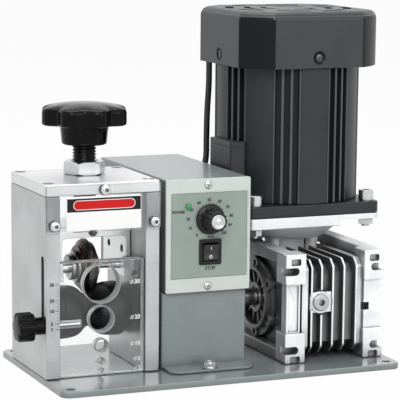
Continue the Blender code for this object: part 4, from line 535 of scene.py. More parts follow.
@dataclass(frozen=True)
class HeatTinted(Finish):
    """Steel whose bare faces have turned brown from heat and oil."""

    tint: Triple = (0.115, 0.036, 0.026)

    def shade(self, tree: Tree, shader: bpy.types.Node) -> None:
        """Adds brown patches to the plain finish."""
        Finish.shade(self, tree, shader)
        plain = Wire(tree, shader.inputs["Base Color"].links[0].from_socket)
        patches = tree.range(tree.noise((2.0, 2.0, 2.0), 3.0), 0.34, 0.66)
        tree.feed(shader, {"Base Color": tree.mix(patches * 0.8, plain, self.tint)})


@dataclass(frozen=True)
class Clear(Finish):
    """See-through sheet with fine scratches, which lets the lamps' light through."""

    def shade(self, tree: Tree, shader: bpy.types.Node) -> None:
        """Builds the glassy shader and lets shadow rays pass."""
        scratches = tree.noise(self.grain, 2.0)
        patches = tree.noise((self.patch,) * 3, 3.0)
        marks = tree.range(scratches, 0.62, 0.75) * 0.10
        tint = tree.mix(patches, shaded(self.colour, 1 - self.swing), self.colour)
        tree.feed(shader, {"Base Color": tint, "Roughness": self.roughness + marks,
                           "Transmission Weight": 1.0, "IOR": 1.49,
                           "Normal": tree.bump(patches, self.depth)})
        shadow = tree.add("ShaderNodeLightPath", out="Is Shadow Ray")
        passing = tree.add("ShaderNodeBsdfTransparent", None, {"Color": (0.93, 0.95, 0.95, 1.0)})
        both = tree.add("ShaderNodeMixShader", None,
                        {0: shadow * 0.9, 1: Wire(tree, shader.outputs[0]), 2: passing})
        tree.feed(tree.nodes["Material Output"], {"Surface": both})


@dataclass(frozen=True)
class Frosted(Finish):
    """Sawn edge of a clear sheet, which scatters light and lets some through."""

    through: float = 0.55

    def shade(self, tree: Tree, shader: bpy.types.Node) -> None:
        """Adds the light that passes to the plain finish."""
        Finish.shade(self, tree, shader)
        tree.feed(shader, {"Transmission Weight": self.through, "IOR": 1.49})


@dataclass(frozen=True)
class Lens(Finish):
    """Coloured lamp lens that glows faintly from inside."""

    glow: float = 0.25

    def shade(self, tree: Tree, shader: bpy.types.Node) -> None:
        """Adds the glow to the plain finish."""
        Finish.shade(self, tree, shader)
        middle = tree.noise((2.0, 2.0, 2.0), 1.0)
        tree.feed(shader, {"Emission Color": tree.mix(middle, self.colour, shaded(self.colour, 1.5)),
                           "Emission Strength": self.glow})


def shaded(colour: Triple, share: float) -> Triple:
    """A darker or lighter tone of a colour."""
    return tuple(min(1.0, part * share) for part in colour)


class Finishes:
    """Every finish of the machine."""

    BASE = Finish("base_enamel", (0.235, 0.270, 0.268), 0.16, grain=(1.6, 1.6, 1.6), depth=0.010,
                  swing=0.05, polish=0.06, coat=0.5, dust=0.10, hollow_shade=0.5, reach=9.0)
    COVER = Finish("cover_enamel", (0.215, 0.250, 0.256), 0.30, grain=(1.4, 1.4, 1.4), depth=0.010,
                   swing=0.05, coat=0.2, dust=0.10, hollow_shade=0.5, reach=9.0)
    BEZEL = Finish("bezel_enamel", (0.60, 0.645, 0.61), 0.42, grain=(0.9, 0.9, 0.9), depth=0.008, swing=0.03)
    PANEL = Finish("panel_film", (0.295, 0.355, 0.320), 0.48, grain=(0.7, 0.7, 0.7), depth=0.01, swing=0.05,
                   specular=0.3)
    MOTOR = Finish("motor_enamel", (0.019, 0.022, 0.024), 0.40, grain=(0.9, 0.9, 0.9), depth=0.03,
                   swing=0.12, dust=0.04, specular=0.35, hollow_shade=0.7, reach=7.0)
    FLANGE = Finish("flange_enamel", (0.015, 0.018, 0.022), 0.34, grain=(0.9, 0.9, 0.9), depth=0.02, swing=0.12,
                    specular=0.4)
    # Painted shade: the uprights take a darker copy of the brushed aluminium, for the shade on their sides.
    BRUSHED_UP_SHADED = Finish("brushed_plate_upright_painted_shade", (0.47, 0.475, 0.48), 0.36, 1.0, (0.45, 0.45, 30.0), 0.006,
                        0.13, 40.0, 0.16, hollow_shade=0.4, reach=25.0)
    BRUSHED_BACK = Finish("brushed_plate_deep", (0.70, 0.705, 0.71), 0.34, 1.0, (0.5, 30.0, 0.5), 0.006,
                          0.08, 40.0, 0.14)
    BRUSHED_ACROSS = Finish("brushed_plate_across", (0.74, 0.745, 0.75), 0.35, 1.0, (30.0, 0.5, 0.5), 0.006,
                            0.10, 40.0, 0.14, hollow_shade=0.25, reach=16.0)
    CAST = Finish("cast_aluminium_skin", (0.82, 0.83, 0.84), 0.40, 0.85, (0.9, 0.9, 0.9), 0.05, 0.10,
                  18.0, 0.12, hollow_shade=0.92, reach=17.0)
    # Painted shade: darker copies of the cast aluminium for gearbox faces that lie in shade.
    CAST_SHADE_DARK = Finish("cast_aluminium_painted_shade_dark", (0.20, 0.20, 0.205), 0.36, 0.85, (0.9, 0.9, 0.9), 0.06, 0.16,
                       9.0, hollow_shade=0.85, reach=12.0)
    CAST_SHADE = Finish("cast_aluminium_painted_shade", (0.36, 0.365, 0.37), 0.42, 0.85, (0.9, 0.9, 0.9), 0.05,
                        0.12, 14.0, hollow_shade=0.92, reach=17.0)
    # Painted light: paler, less metallic copies of the cast aluminium for the cone and neck, which face down into
    # shade.
    CONE_LIT = Finish("cast_cone_painted_light", (0.80, 0.81, 0.82), 0.42, 0.20, (0.9, 0.9, 0.9), 0.03, 0.10, 18.0, 0.12)
    NECK_LIT = Finish("cast_neck_painted_light", (0.93, 0.935, 0.94), 0.38, 0.10, (0.9, 0.9, 0.9), 0.03, 0.10, 18.0, 0.12)
    PLUG = Finish("plug_skin", (0.46, 0.465, 0.47), 0.34, 0.9, (0.8, 0.8, 0.8), 0.02, 0.10, 6.0,
                  hollow_shade=0.9, reach=3.0)
    COVER_DARK = Finish("fan_cover_skin", (0.032, 0.037, 0.040), 0.38, grain=(0.7, 0.7, 0.7), depth=0.02,
                        swing=0.10, dust=0.02, specular=0.35, hollow_shade=0.8, reach=3.5)
    BLACK_SCREW = Finish("black_screw_skin", (0.11, 0.11, 0.115), 0.22, 0.8, (0.4, 0.4, 0.4), 0.004, 0.2,
                         hollow_shade=0.9, reach=1.0)
    CAST_DARK = Finish("dark_casting_skin", (0.20, 0.20, 0.205), 0.36, 0.7, (0.9, 0.9, 0.9), 0.05, 0.20,
                       hollow_shade=0.8, reach=9.0)
    STEEL = Finish("turned_steel", (0.68, 0.68, 0.69), 0.26, 1.0, (8.0, 0.5, 0.5), 0.003, 0.14)
    DARK_STEEL = Finish("blackened_steel", (0.030, 0.028, 0.028), 0.30, 0.8, (0.5, 0.5, 0.5), 0.008, 0.2)
    ROLLER = Finish("roller_steel", (0.016, 0.016, 0.017), 0.36, 0.8, (0.8, 0.8, 0.8), 0.01, 0.2, 9.0,
                    hollow_shade=0.6, reach=10.0)
    BLADE = HeatTinted("blade_steel_tinted", (0.085, 0.075, 0.075), 0.30, 0.9, (0.7, 0.7, 0.7), 0.006, 0.15,
                       hollow_shade=0.6, reach=8.0)
    RIM = Finish("blade_rim_ground", (0.13, 0.13, 0.132), 0.24, 1.0, (0.5, 0.5, 0.5), 0.004, 0.12)
    ZINC = Finish("zinc_plate", (0.60, 0.61, 0.62), 0.24, 1.0, (1.0, 1.0, 1.0), 0.002, 0.05, 14.0, 0.04,
                  hollow_shade=0.8, reach=4.0)
    CHROME = Finish("chrome_plate", (0.66, 0.66, 0.67), 0.12, 1.0, (1.5, 1.5, 1.5), 0.002, 0.05, 8.0, 0.05,
                    hollow_shade=0.85, reach=5.0)
    COLLAR = Finish("collar_plate", (0.34, 0.34, 0.345), 0.16, 1.0, (9.0, 0.6, 0.6), 0.004, 0.25, hollow_shade=0.85,
                    reach=5.0)
    CAP = Finish("turned_cap", (0.60, 0.60, 0.61), 0.26, 1.0, (3.0, 3.0, 3.0), 0.004, 0.12, 4.0)
    ADAPTER = Finish("adapter_skin", (0.73, 0.74, 0.75), 0.40, 0.9, (3.0, 3.0, 0.6), 0.008, 0.06, 30.0)
    KNOB = Finish("knob_plastic_gloss", (0.003, 0.003, 0.0035), 0.12, grain=(1.5, 1.5, 1.5), depth=0.004,
                  swing=0.2, polish=0.05, specular=0.12)
    PLASTIC = Finish("black_plastic_satin", (0.007, 0.007, 0.008), 0.36, grain=(0.4, 0.4, 0.4), depth=0.01,
                     swing=0.2, specular=0.3)
    ROCKER = Finish("rocker_plastic", (0.022, 0.023, 0.025), 0.26, grain=(0.4, 0.4, 0.4), depth=0.006, swing=0.2,
                    specular=0.4)
    CLEAR = Clear("clear_sheet", (0.95, 0.97, 0.965), 0.02, grain=(0.4, 9.0, 0.4), depth=0.01, swing=0.02)
    FROSTED = Frosted("clear_sheet_sawn", (0.62, 0.64, 0.64), 0.50, grain=(0.5, 0.5, 0.5), depth=0.02, swing=0.10)
    ENGRAVING = Finish("engraved_mark", (0.80, 0.82, 0.82), 0.6, grain=(0.3, 0.3, 0.3), depth=0.01, swing=0.05)
    FILM = Finish("label_film_white", (0.90, 0.90, 0.89), 0.40, grain=(0.5, 0.5, 0.5), depth=0.004, swing=0.02)
    # Painted shade: near black copy of the fan cover's finish for its round corners and the rings round its screws.
    COVER_CORNER_SHADE = Finish("fan_cover_corner_painted_shade", (0.005, 0.006, 0.007), 0.34, grain=(0.7, 0.7, 0.7), depth=0.02,
                          swing=0.10, specular=0.16)
    # Painted highlight: lighter copy of the fan cover's finish for its rounded top shoulder.
    COVER_SHOULDER_HIGHLIGHT = Finish("fan_cover_shoulder_painted_highlight", (0.060, 0.066, 0.070), 0.36, grain=(0.7, 0.7, 0.7), depth=0.02, swing=0.10)
    # Painted highlight: lighter copy of the motor enamel for the thin edges beside the grooves.
    MOTOR_GROOVE_HIGHLIGHT = Finish("motor_enamel_groove_painted_highlight", (0.060, 0.067, 0.072), 0.34, grain=(0.9, 0.9, 0.9), depth=0.02,
                        swing=0.12)
    # Painted shade: darker copy of the motor enamel for the insides of the grooves.
    MOTOR_GROOVE_SHADE = Finish("motor_enamel_groove_painted_shade", (0.006, 0.007, 0.008), 0.45, grain=(0.9, 0.9, 0.9), depth=0.02,
                        swing=0.12, specular=0.2)
    INK_BLACK = Finish("print_black", (0.010, 0.010, 0.010), 0.45, grain=(0.3, 0.3, 0.3), depth=0.002, swing=0.2,
                       specular=0.2)
    INK_WHITE = Finish("print_white", (0.78, 0.78, 0.77), 0.45, grain=(0.3, 0.3, 0.3), depth=0.002, swing=0.04)
    INK_RED = Finish("print_red", (0.58, 0.010, 0.012), 0.42, grain=(0.5, 0.5, 0.5), depth=0.002, swing=0.06,
                     specular=0.2)
    LAMP = Lens("lamp_lens", (0.012, 0.26, 0.07), 0.12, grain=(1.0, 1.0, 1.0), depth=0.01, swing=0.1, coat=0.3,
                glow=0.06)
    BOARD = Finish("circuit_board_resist", (0.015, 0.16, 0.06), 0.35, grain=(1.5, 1.5, 1.5), depth=0.02, swing=0.2)
    BRONZE = Finish("gear_bronze", (0.55, 0.33, 0.12), 0.30, 1.0, (0.8, 0.8, 0.8), 0.01, 0.12)
    CABLE = Finish("cable_sheath_black", (0.006, 0.006, 0.007), 0.28, grain=(0.5, 0.5, 3.0), depth=0.01, swing=0.2,
                   specular=0.35)


# Pieces

def piece(name: str, solid: Solid, finish: Finish, body: str, slot: str, *nodes: str,
          angle: float = 38.0) -> bpy.types.Object:
    """Makes a shown piece of a solid.

    Args:
        name: name of the piece.
        solid: its shape, in millimetres.
        finish: its surface.
        body: CAD body it moves with.
        slot: material slot of the record; not used.
        nodes: CAD nodes it stands for.
        angle: edges sharper than this many degrees stay sharp.

    Returns:
        The object.
    """
    made = solid.object(name)
    made.data.transform(Matrix.Scale(TO_METRES, 4))
    made.data.shade_smooth()
    made.data.set_sharp_from_angle(angle=math.radians(angle))
    made.data.materials.append(finish.material())
    even = made.modifiers.new("even_normals", "WEIGHTED_NORMAL")
    even.keep_sharp = True
    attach(made, body)
    if nodes:
        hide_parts(*nodes)
    LOG.info("piece %s on %s", name, body)
    return made


def repaint(made: bpy.types.Object, finish: Finish, chosen: Callable[[Vector, Vector], bool]) -> None:
    """Gives some faces of a piece a finish of their own.

    Args:
        made: the piece.
        finish: finish of the chosen faces.
        chosen: tells from a face's middle in millimetres and its normal whether it is chosen.
    """
    made.data.materials.append(finish.material())
    for face in made.data.polygons:
        if chosen(face.center / TO_METRES, face.normal):
            face.material_index = len(made.data.materials) - 1


def frost_edges(sheet: bpy.types.Object, finish: Finish) -> None:
    """Gives everything but the front and back of an upright sheet a second finish."""
    sheet.data.materials.append(finish.material())
    for face in sheet.data.polygons:
        if abs(face.normal.y) < 0.8:
            face.material_index = 1


def dress(node: str, finish: Finish, edge: float = 0.0) -> None:
    """Gives a CAD node that stays its finish and round edges."""
    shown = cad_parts[node]
    shown.data.materials.clear()
    shown.data.materials.append(finish.material())
    weld = shown.modifiers.new("weld", "WELD")
    weld.merge_threshold = 0.01 * TO_METRES
    if edge:
        flat = shown.modifiers.new("flat_faces", "DECIMATE")
        flat.decimate_type = "DISSOLVE"
        flat.angle_limit = math.radians(1.0)
        soft = shown.modifiers.new("round_edges", "BEVEL")
        soft.width = edge * TO_METRES
        soft.segments = 2
        soft.limit_method = "ANGLE"
        soft.angle_limit = math.radians(35.0)
        soft.harden_normals = False
        even = shown.modifiers.new("even_normals", "WEIGHTED_NORMAL")
        even.keep_sharp = True
    LOG.info("CAD node %s keeps its shape", node)


# Assemblies

SIGNS = ((-1, -1), (-1, 1), (1, -1), (1, 1))


@dataclass
class BasePlate:
    """Enamelled plate under everything, with its four bolt holes."""

    length: float = 294.0
    depth: float = 162.0
    thick: float = 5.0
    corner: float = 8.0
    hole_inset: float = 9.5
    hole_radius: float = 3.5
    cover_bolt: Pair = (-12.0, -50.4)

    def build(self) -> None:
        """Makes the plate."""
        x, y = self.length / 2, self.depth / 2
        plate = Solid().prism(rounded((-x, -y), (x, y), self.corner, 8), 0.0, self.thick, edge=0.9, low_edge=0.3)
        holes = Solid().rod(2.9, -OVER, self.thick + OVER, self.cover_bolt)
        for sx, sy in SIGNS:
            at = (sx * (x - self.hole_inset), sy * (y - self.hole_inset))
            holes.drill(self.hole_radius, 0.0, self.thick, at, ease=0.5)
        piece("painted_base", plate.cut(holes), Finishes.BASE, "frame", "base_paint", "base_plate")


@dataclass
class Head:
    """Two upright plates and the top plate of the cutting head."""

    x0: float = -146.6
    x1: float = -51.2
    y0: float = -38.7
    y1: float = 50.0
    side: float = 11.8
    deck: float = 5.3
    side_top: float = 151.0
    top_low: float = 151.3
    top_high: float = 160.4
    shaft: Pair = (16.0, 48.5)
    shaft_hole: float = 7.4
    screw_axis: Pair = (-95.3, 16.0)
    screw_rows: Pair = (-29.0, 43.0)
    slot: tuple[float, float, float, float] = (-34.4, 44.5, -27.6, 103.4)
    edge: float = 0.6

    def build(self) -> None:
        """Makes the plates, their screws and the wire size scale."""
        self.left_plate()
        self.right_plate()
        self.top_plate()
        self.screws()
        self.scale()

    def left_plate(self) -> None:
        """Left upright, with the slot in which the guide's lock slides."""
        plate = Solid().block((self.x0, self.y0, self.deck), (self.x0 + self.side, self.y1, self.side_top),
                              self.edge, 1.0, Axis.X)
        y0, z0, y1, z1 = self.slot
        holes = Solid().prism(rounded((y0, z0), (y1, z1), (y1 - y0) / 2 - 0.02, 8), self.x0 - OVER,
                              self.x0 + self.side + OVER, Axis.X)
        holes.rod(self.shaft_hole, self.x0 + 4.8, self.x0 + self.side + OVER, self.shaft, Axis.X)
        for y in self.screw_rows:
            holes.rod(2.9, self.side_top - 12.0, self.side_top + OVER, (self.x0 + self.side / 2, y), steps=20)
        holes.rod(2.4, self.y0 - OVER, self.y0 + 8.3, (-139.6, 128.3), Axis.Y, 20)
        piece("left_upright", plate.cut(holes), Finishes.BRUSHED_UP_SHADED, "frame", "head_aluminium", "left_side_plate")

    def right_plate(self) -> None:
        """Right upright, with the shaft's hole and the stop block."""
        inner = self.x1 - self.side
        plate = Solid().block((inner, self.y0, self.deck), (self.x1, self.y1, self.side_top),
                              self.edge, 1.0, Axis.X)
        block = Solid().block((-70.6, -20.5, 78.6), (inner + OVER, -5.8, 95.2), 0.5, 0.8, Axis.X)
        plate.join(block)
        holes = Solid().rod(self.shaft_hole, inner - OVER, self.x1 + OVER, self.shaft, Axis.X)
        for y in self.screw_rows:
            holes.rod(2.9, self.side_top - 12.0, self.side_top + OVER, (self.x1 - self.side / 2, y), steps=20)
        holes.rod(2.4, self.y0 - OVER, self.y0 + 8.3, (-56.4, 127.9), Axis.Y, 20)
        holes.drill(2.4, 90.2, 95.2, (-66.8, -13.15), ease=0.5)
        holes.drill(2.4, -20.5, -15.5, (-66.8, 83.4), Axis.Y, ease=0.5)
        piece("right_upright", plate.cut(holes), Finishes.BRUSHED_UP_SHADED, "frame", "head_aluminium",
              "right_side_plate")

    def screw_places(self) -> list[Pair]:
        """Where the four countersunk screws stand."""
        return [(x, y) for x in (self.x0 + self.side / 2, self.x1 - self.side / 2) for y in self.screw_rows]

    def top_plate(self) -> None:
        """Top plate with the threaded bore and four countersinks."""
        plate = Solid().block((self.x0, self.y0, self.top_low), (self.x1, self.y1, self.top_high), self.edge, 1.0)
        holes = Solid().rod(10.1, self.top_low - OVER, self.top_high + OVER, self.screw_axis)
        for at in self.screw_places():
            holes.lathe(((2.8, self.top_low - OVER), (2.8, self.top_high - 2.8), (4.9, self.top_high - 0.3),
                         (4.9, self.top_high + OVER)), at, steps=32)
        holes.rod(2.4, self.y0 - OVER, self.y0 + 8.3, (-98.0, 155.2), Axis.Y, 20)
        piece("top_bridge", plate.cut(holes), Finishes.BRUSHED_BACK, "frame", "head_aluminium", "top_plate")

    def screws(self) -> None:
        """Four blackened countersunk screws with slots."""
        face = self.top_high - 0.3
        for count, at in enumerate(self.screw_places(), 1):
            profile = ((2.5, self.side_top - 11.0), (2.5, self.top_high - 2.8), (4.4, face - 0.15), (4.2, face))
            screw = Solid().lathe(profile, at, steps=32)
            (x, y), turn = at, 25.0 * count
            slot = Solid().block((x - 6.0, y - 0.6, face - 1.2), (x + 6.0, y + 0.6, face + OVER))
            slot.turned(turn, (x, y, face), Axis.Z)
            piece(f"top_screw_black_{count}", screw.cut(slot), Finishes.DARK_STEEL, "frame", "dark_steel",
                  f"top_plate_screw_{count}")

    def scale(self) -> None:
        """Wire size scale on the front of the left upright."""
        marks = {81.4: "30", 68.6: "20", 60.2: "10", 50.1: "5", 45.7: "3"}
        inner = self.x0 + self.side
        words = [(text, (inner - 6.9, z), 2.7) for z, text in marks.items()]
        print_ = lettering(words, self.y0)
        for z in marks:
            print_.block((inner - 4.2, self.y0 - PROUD, z - 0.22), (inner - 0.7, self.y0, z + 0.22))
        for z in (77.2, 75.0, 72.6, 66.2, 64.2, 62.2, 57.6, 55.0, 52.6, 47.9):
            print_.block((inner - 2.4, self.y0 - PROUD, z - 0.16), (inner - 0.7, self.y0, z + 0.16))
        piece("wire_size_scale", print_, Finishes.INK_BLACK, "frame", "label_film")


@dataclass
class Guard:
    """Clear guard on the front of the head, its plain label and its screws."""

    x0: float = -146.6
    x1: float = -51.2
    back: float = -39.0
    thick: float = 2.6
    z0: float = 122.4
    z1: float = 159.2
    screws: tuple[Pair, ...] = ((-98.0, 155.2), (-139.6, 128.3), (-56.4, 127.9))
    label_low: Pair = (-130.5, 123.8)
    label_high: Pair = (-68.2, 150.8)

    def build(self) -> None:
        """Makes guard, label and screws."""
        front = self.back - self.thick
        sheet = Solid().block((self.x0, front, self.z0), (self.x1, self.back, self.z1), 0.4, 1.2, Axis.Y)
        holes = Solid()
        for at in self.screws:
            holes.rod(2.4, front - OVER, self.back + OVER, at, Axis.Y, 24)
        piece("clear_guard", sheet.cut(holes), Finishes.CLEAR, "frame", "clear_acrylic", "guard_plate")
        self.label(front - 0.3)
        for count, at in enumerate(self.screws, 1):
            self.screw(f"guard_button_screw_{count}", at, front - 0.3, f"guard_screw_{count}")

    def label(self, back: float) -> None:
        """Plain film with a dark band and a red bar, and no words."""
        (x0, z0), (x1, z1) = self.label_low, self.label_high
        face = back - 0.38
        film = Solid().block((x0, face, z0), (x1, back, z1), 0.1, 1.0, Axis.Y)
        piece("label_film_plain", film, Finishes.FILM, "frame", "label_film", "guard_label")
        band = Solid().block((x0 + 0.5, face - 0.04, z1 - 12.2), (x1 - 0.5, face, z1 - 1.6))
        piece("label_band", band, Finishes.INK_BLACK, "frame", "label_film")
        rim = rounded((x0 + 5.5, z1 - 10.8), (x1 - 5.0, z1 - 3.0), 3.85, 10)
        piece("label_bar_rim", Solid().prism(rim, face - 0.07, face - 0.03, Axis.Y), Finishes.INK_WHITE,
              "frame", "label_film")
        bar = rounded((x0 + 6.1, z1 - 10.2), (x1 - 5.6, z1 - 3.6), 3.25, 10)
        piece("label_bar", Solid().prism(bar, face - 0.1, face - 0.06, Axis.Y), Finishes.INK_RED,
              "frame", "label_film")

    def screw(self, name: str, at: Pair, under: float, node: str) -> None:
        """Button-head screw with a hexagon socket."""
        crown = under - 2.9
        profile = ((2.0, self.back + 8.3), (2.0, under), (4.3, under), (4.3, under - 1.0), (3.6, under - 2.3),
                   (2.4, crown), (0.4, crown))
        screw = Solid().lathe(profile, at, Axis.Y, 40, edge=0.35)
        socket = Solid().prism(circle(1.7, 6, at, 0.2), crown - OVER, crown + 1.7, Axis.Y)
        piece(name, screw.cut(socket), Finishes.CHROME, "frame", "bright_steel", node)


@dataclass
class HeightScrew:
    """Threaded screw, its nut and the star knob that sets the blade's height."""

    centre: Pair = (-95.3, 16.0)
    radius: float = 9.7
    root: float = 8.5
    pitch: float = 2.5
    thread_low: float = 122.5
    thread_high: float = 189.6
    top: float = 201.8
    nut_low: float = 160.7
    nut_high: float = 171.2
    nut_corner: float = 17.3
    nut_turn: float = math.radians(56.0)
    lobes: int = 8
    knob_turn: float = math.radians(3.5)

    def build(self) -> None:
        """Makes screw, nut and knob."""
        self.screw()
        self.nut()
        self.knob()

    def screw(self) -> None:
        """Screw with a real helix between its plain ends."""
        steps, rows = 48, 8
        rings = [self.ring(lambda _: 6.0, 116.2, steps), self.ring(lambda _: 6.0, 121.4, steps),
                 self.ring(lambda _: self.root, 121.4, steps)]
        count = round((self.thread_high - self.thread_low) / self.pitch * rows)
        for k in range(count + 1):
            height = self.thread_low + self.pitch * k / rows
            fade = min(1.0, k / rows, (count - k) / rows)
            rings.append(self.ring(lambda a, h=height, f=fade: self.thread(a, h, f), height, steps))
        rings.append(self.ring(lambda _: self.root, self.top, steps))
        piece("thread_spindle", Solid().skin(rings), Finishes.DARK_STEEL, "height_knob", "dark_steel",
              "height_screw", angle=70.0)

    def thread(self, angle: float, height: float, fade: float) -> float:
        """Radius of the thread at an angle and a height; fade runs the thread out at its ends."""
        phase = (height / self.pitch - angle / math.tau) % 1.0
        ridge = min(1.0, max(0.0, 2.4 * (0.5 - abs(phase - 0.5)) - 0.1))
        return self.root + (self.radius - self.root) * ridge * fade

    def ring(self, reach: Callable[[float], float], height: float, steps: int) -> list[Triple]:
        """Points round the screw's axis at a height."""
        return [(u, v, height) for u, v in lobed(reach, steps, self.centre)]

    def nut(self) -> None:
        """Hexagon nut with both rims turned off."""
        nut = Solid().prism(circle(self.nut_corner, 6, self.centre, self.nut_turn), self.nut_low, self.nut_high)
        inner = self.nut_corner - 1.9
        turned = Solid().lathe(((inner, self.nut_low), (self.nut_corner + 0.1, self.nut_low + 1.3),
                                (self.nut_corner + 0.1, self.nut_high - 1.3), (inner, self.nut_high)),
                               self.centre, steps=96)
        bore = Solid().rod(10.1, self.nut_low - OVER, self.nut_high + OVER, self.centre, steps=64)
        sink = Solid().lathe(((9.9, self.nut_high - 1.4), (12.2, self.nut_high + 0.2), (12.2, self.nut_high + OVER)),
                             self.centre, steps=64)
        piece("hexagon_nut", nut.common(turned).cut(bore, sink), Finishes.ZINC, "frame", "zinc", "height_nut",
              angle=20.0)

    def knob(self) -> None:
        """Star knob: a hub, a rim with eight lobes and a shallow dome."""
        wall = 10.0
        line = [(wall, 0.0, 202.1), (wall, 0.0, 184.6), (17.0, 0.0, 184.6), (18.0, 0.0, 185.2), (18.4, 0.0, 186.6),
                (19.0, 0.0, 193.0), (19.8, 0.1, 199.0), (21.4, 0.3, 200.3), (24.0, 0.6, 200.6), (31.0, 2.5, 200.6),
                (32.4, 2.5, 201.0), (33.2, 2.5, 201.8), (33.4, 2.5, 203.0), (33.4, 2.5, 210.8),
                (33.1, 2.5, 212.6), (32.3, 2.4, 213.8), (30.8, 2.2, 214.7), (28.4, 1.8, 215.5),
                (25.0, 0.6, 216.4), (20.0, 0.2, 217.3), (14.0, 0.0, 218.0), (7.0, 0.0, 218.35), (2.0, 0.0, 218.4)]
        rings = []
        for radius, swing, height in line:
            reach = (lambda a, r=radius, s=swing: r + s * self.lobe(a))
            rings.append([(u, v, height) for u, v in lobed(reach, 192, self.centre)])
        piece("star_knob_moulded", Solid().skin(rings), Finishes.KNOB, "height_knob", "knob_plastic", "star_knob",
              angle=60.0)

    def lobe(self, angle: float) -> float:
        """Swing of the rim at an angle: broad lobes and narrower hollows between them."""
        wave = math.cos(self.lobes * (angle - self.knob_turn))
        return 1.0 - 2.0 * ((1.0 - wave) / 2.0) ** 1.35


@dataclass
class Carrier:
    """Aluminium bridge that slides between the uprights and holds the blade."""

    x0: float = -134.5
    x1: float = -63.3
    y0: float = -5.0
    y1: float = 49.0
    low: float = 77.0
    high: float = 120.5
    arm_left: float = -121.6
    arm_right: float = -67.0
    under: float = 111.6

    def build(self) -> None:
        """Makes the bridge with its bores."""
        outline = [(self.x0, self.low), (self.arm_left, self.low)]
        outline += [(self.arm_left, self.under - 3.5), (self.arm_left + 1.0, self.under - 1.0),
                    (self.arm_left + 3.5, self.under), (self.arm_right - 3.5, self.under),
                    (self.arm_right - 1.0, self.under - 1.0), (self.arm_right, self.under - 3.5)]
        outline += [(self.arm_right, self.low), (self.x1, self.low), (self.x1, self.high), (self.x0, self.high)]
        bridge = Solid().prism(outline, self.y0, self.y1, Axis.Y, 0.5)
        holes = Solid().rod(4.9, self.x0 - OVER, self.arm_left + OVER, (16.0, 84.8), Axis.X)
        holes.rod(3.4, self.arm_right - OVER, self.x1 + OVER, (16.0, 84.8), Axis.X)
        for y in (5.5, 35.5):
            holes.drill(3.0, self.arm_right, self.x1, (y, 99.3), Axis.X, ease=0.4)
        holes.drill(3.5, self.y0, self.y0 + 9.0, (-95.3, 116.1), Axis.Y, ease=0.5)
        holes.rod(6.4, 115.9, self.high + OVER, (-95.3, 16.0))
        piece("sliding_bridge", bridge.cut(holes), Finishes.BRUSHED_ACROSS, "carrier", "head_aluminium",
              "blade_carrier")


@dataclass
class BladeGroup:
    """Round blade on its axle between two collars."""

    axis: Pair = (16.0, 84.8)
    middle: float = -95.3
    radius: float = 22.4
    half: float = 7.2
    face: float = 9.5

    def build(self) -> None:
        """Makes blade, axle and collars."""
        left, right = self.middle - self.half, self.middle + self.half
        rim = self.middle - 1.2, self.middle + 1.2
        profile = ((4.8, left), (11.0, left), (11.2, left + 0.5), (13.4, left + 0.6), (13.7, left + 0.1),
                   (16.6, left), (17.0, left + 0.4), (17.0, left + 1.8), (17.3, left + 2.0), (21.0, self.middle - 3.2),
                   (21.3, self.middle - 2.9), (22.2, rim[0] - 0.1), (self.radius, rim[0] + 0.1),
                   (self.radius, rim[1] - 0.2), (22.1, rim[1]), (19.8, rim[1] + 0.05), (19.4, rim[1] + 0.5),
                   (19.4, self.middle + 5.0), (19.0, self.middle + 5.4), (self.face, right), (4.8, right))
        blade = Solid().lathe(profile, self.axis, Axis.X, 128, loop=True)
        made = piece("round_blade", blade, Finishes.BLADE, "blade", "blade_steel", "cutting_blade", angle=25.0)
        made.data.materials.append(Finishes.RIM.material())
        centre = Vector(self.axis) * TO_METRES
        for face in made.data.polygons:
            if (Vector((face.center.y, face.center.z)) - centre).length > 21.6 * TO_METRES:
                face.material_index = 1
        profile = ((4.0, -133.6), (4.5, -133.1), (4.5, -85.0), (3.0, -85.0), (3.0, -64.4), (2.6, -64.0))
        axle = Solid().lathe(profile, self.axis, Axis.X, 48)
        piece("blade_spindle", axle, Finishes.STEEL, "blade", "bright_steel", "blade_axle")
        end = left - 0.3
        profile = ((4.8, end - 7.6), (9.6, end - 7.6), (10.4, end - 7.0), (10.4, end - 4.6), (9.8, end - 4.2),
                   (9.8, end - 3.6), (12.2, end - 3.0), (12.7, end - 2.4), (12.7, end - 0.4), (12.3, end),
                   (4.8, end))
        collar = Solid().lathe(profile, self.axis, Axis.X, 96, loop=True)
        piece("collar_left", collar, Finishes.COLLAR, "blade", "dark_steel", "blade_collar_left", angle=30.0)
        start = right + 0.3
        profile = ((4.8, start), (10.7, start), (11.0, start + 0.3), (11.0, start + 1.5), (9.9, start + 2.4),
                   (4.8, start + 2.4))
        collar = Solid().lathe(profile, self.axis, Axis.X, 96, loop=True)
        piece("collar_right", collar, Finishes.CHROME, "blade", "dark_steel", "blade_collar_right", angle=30.0)


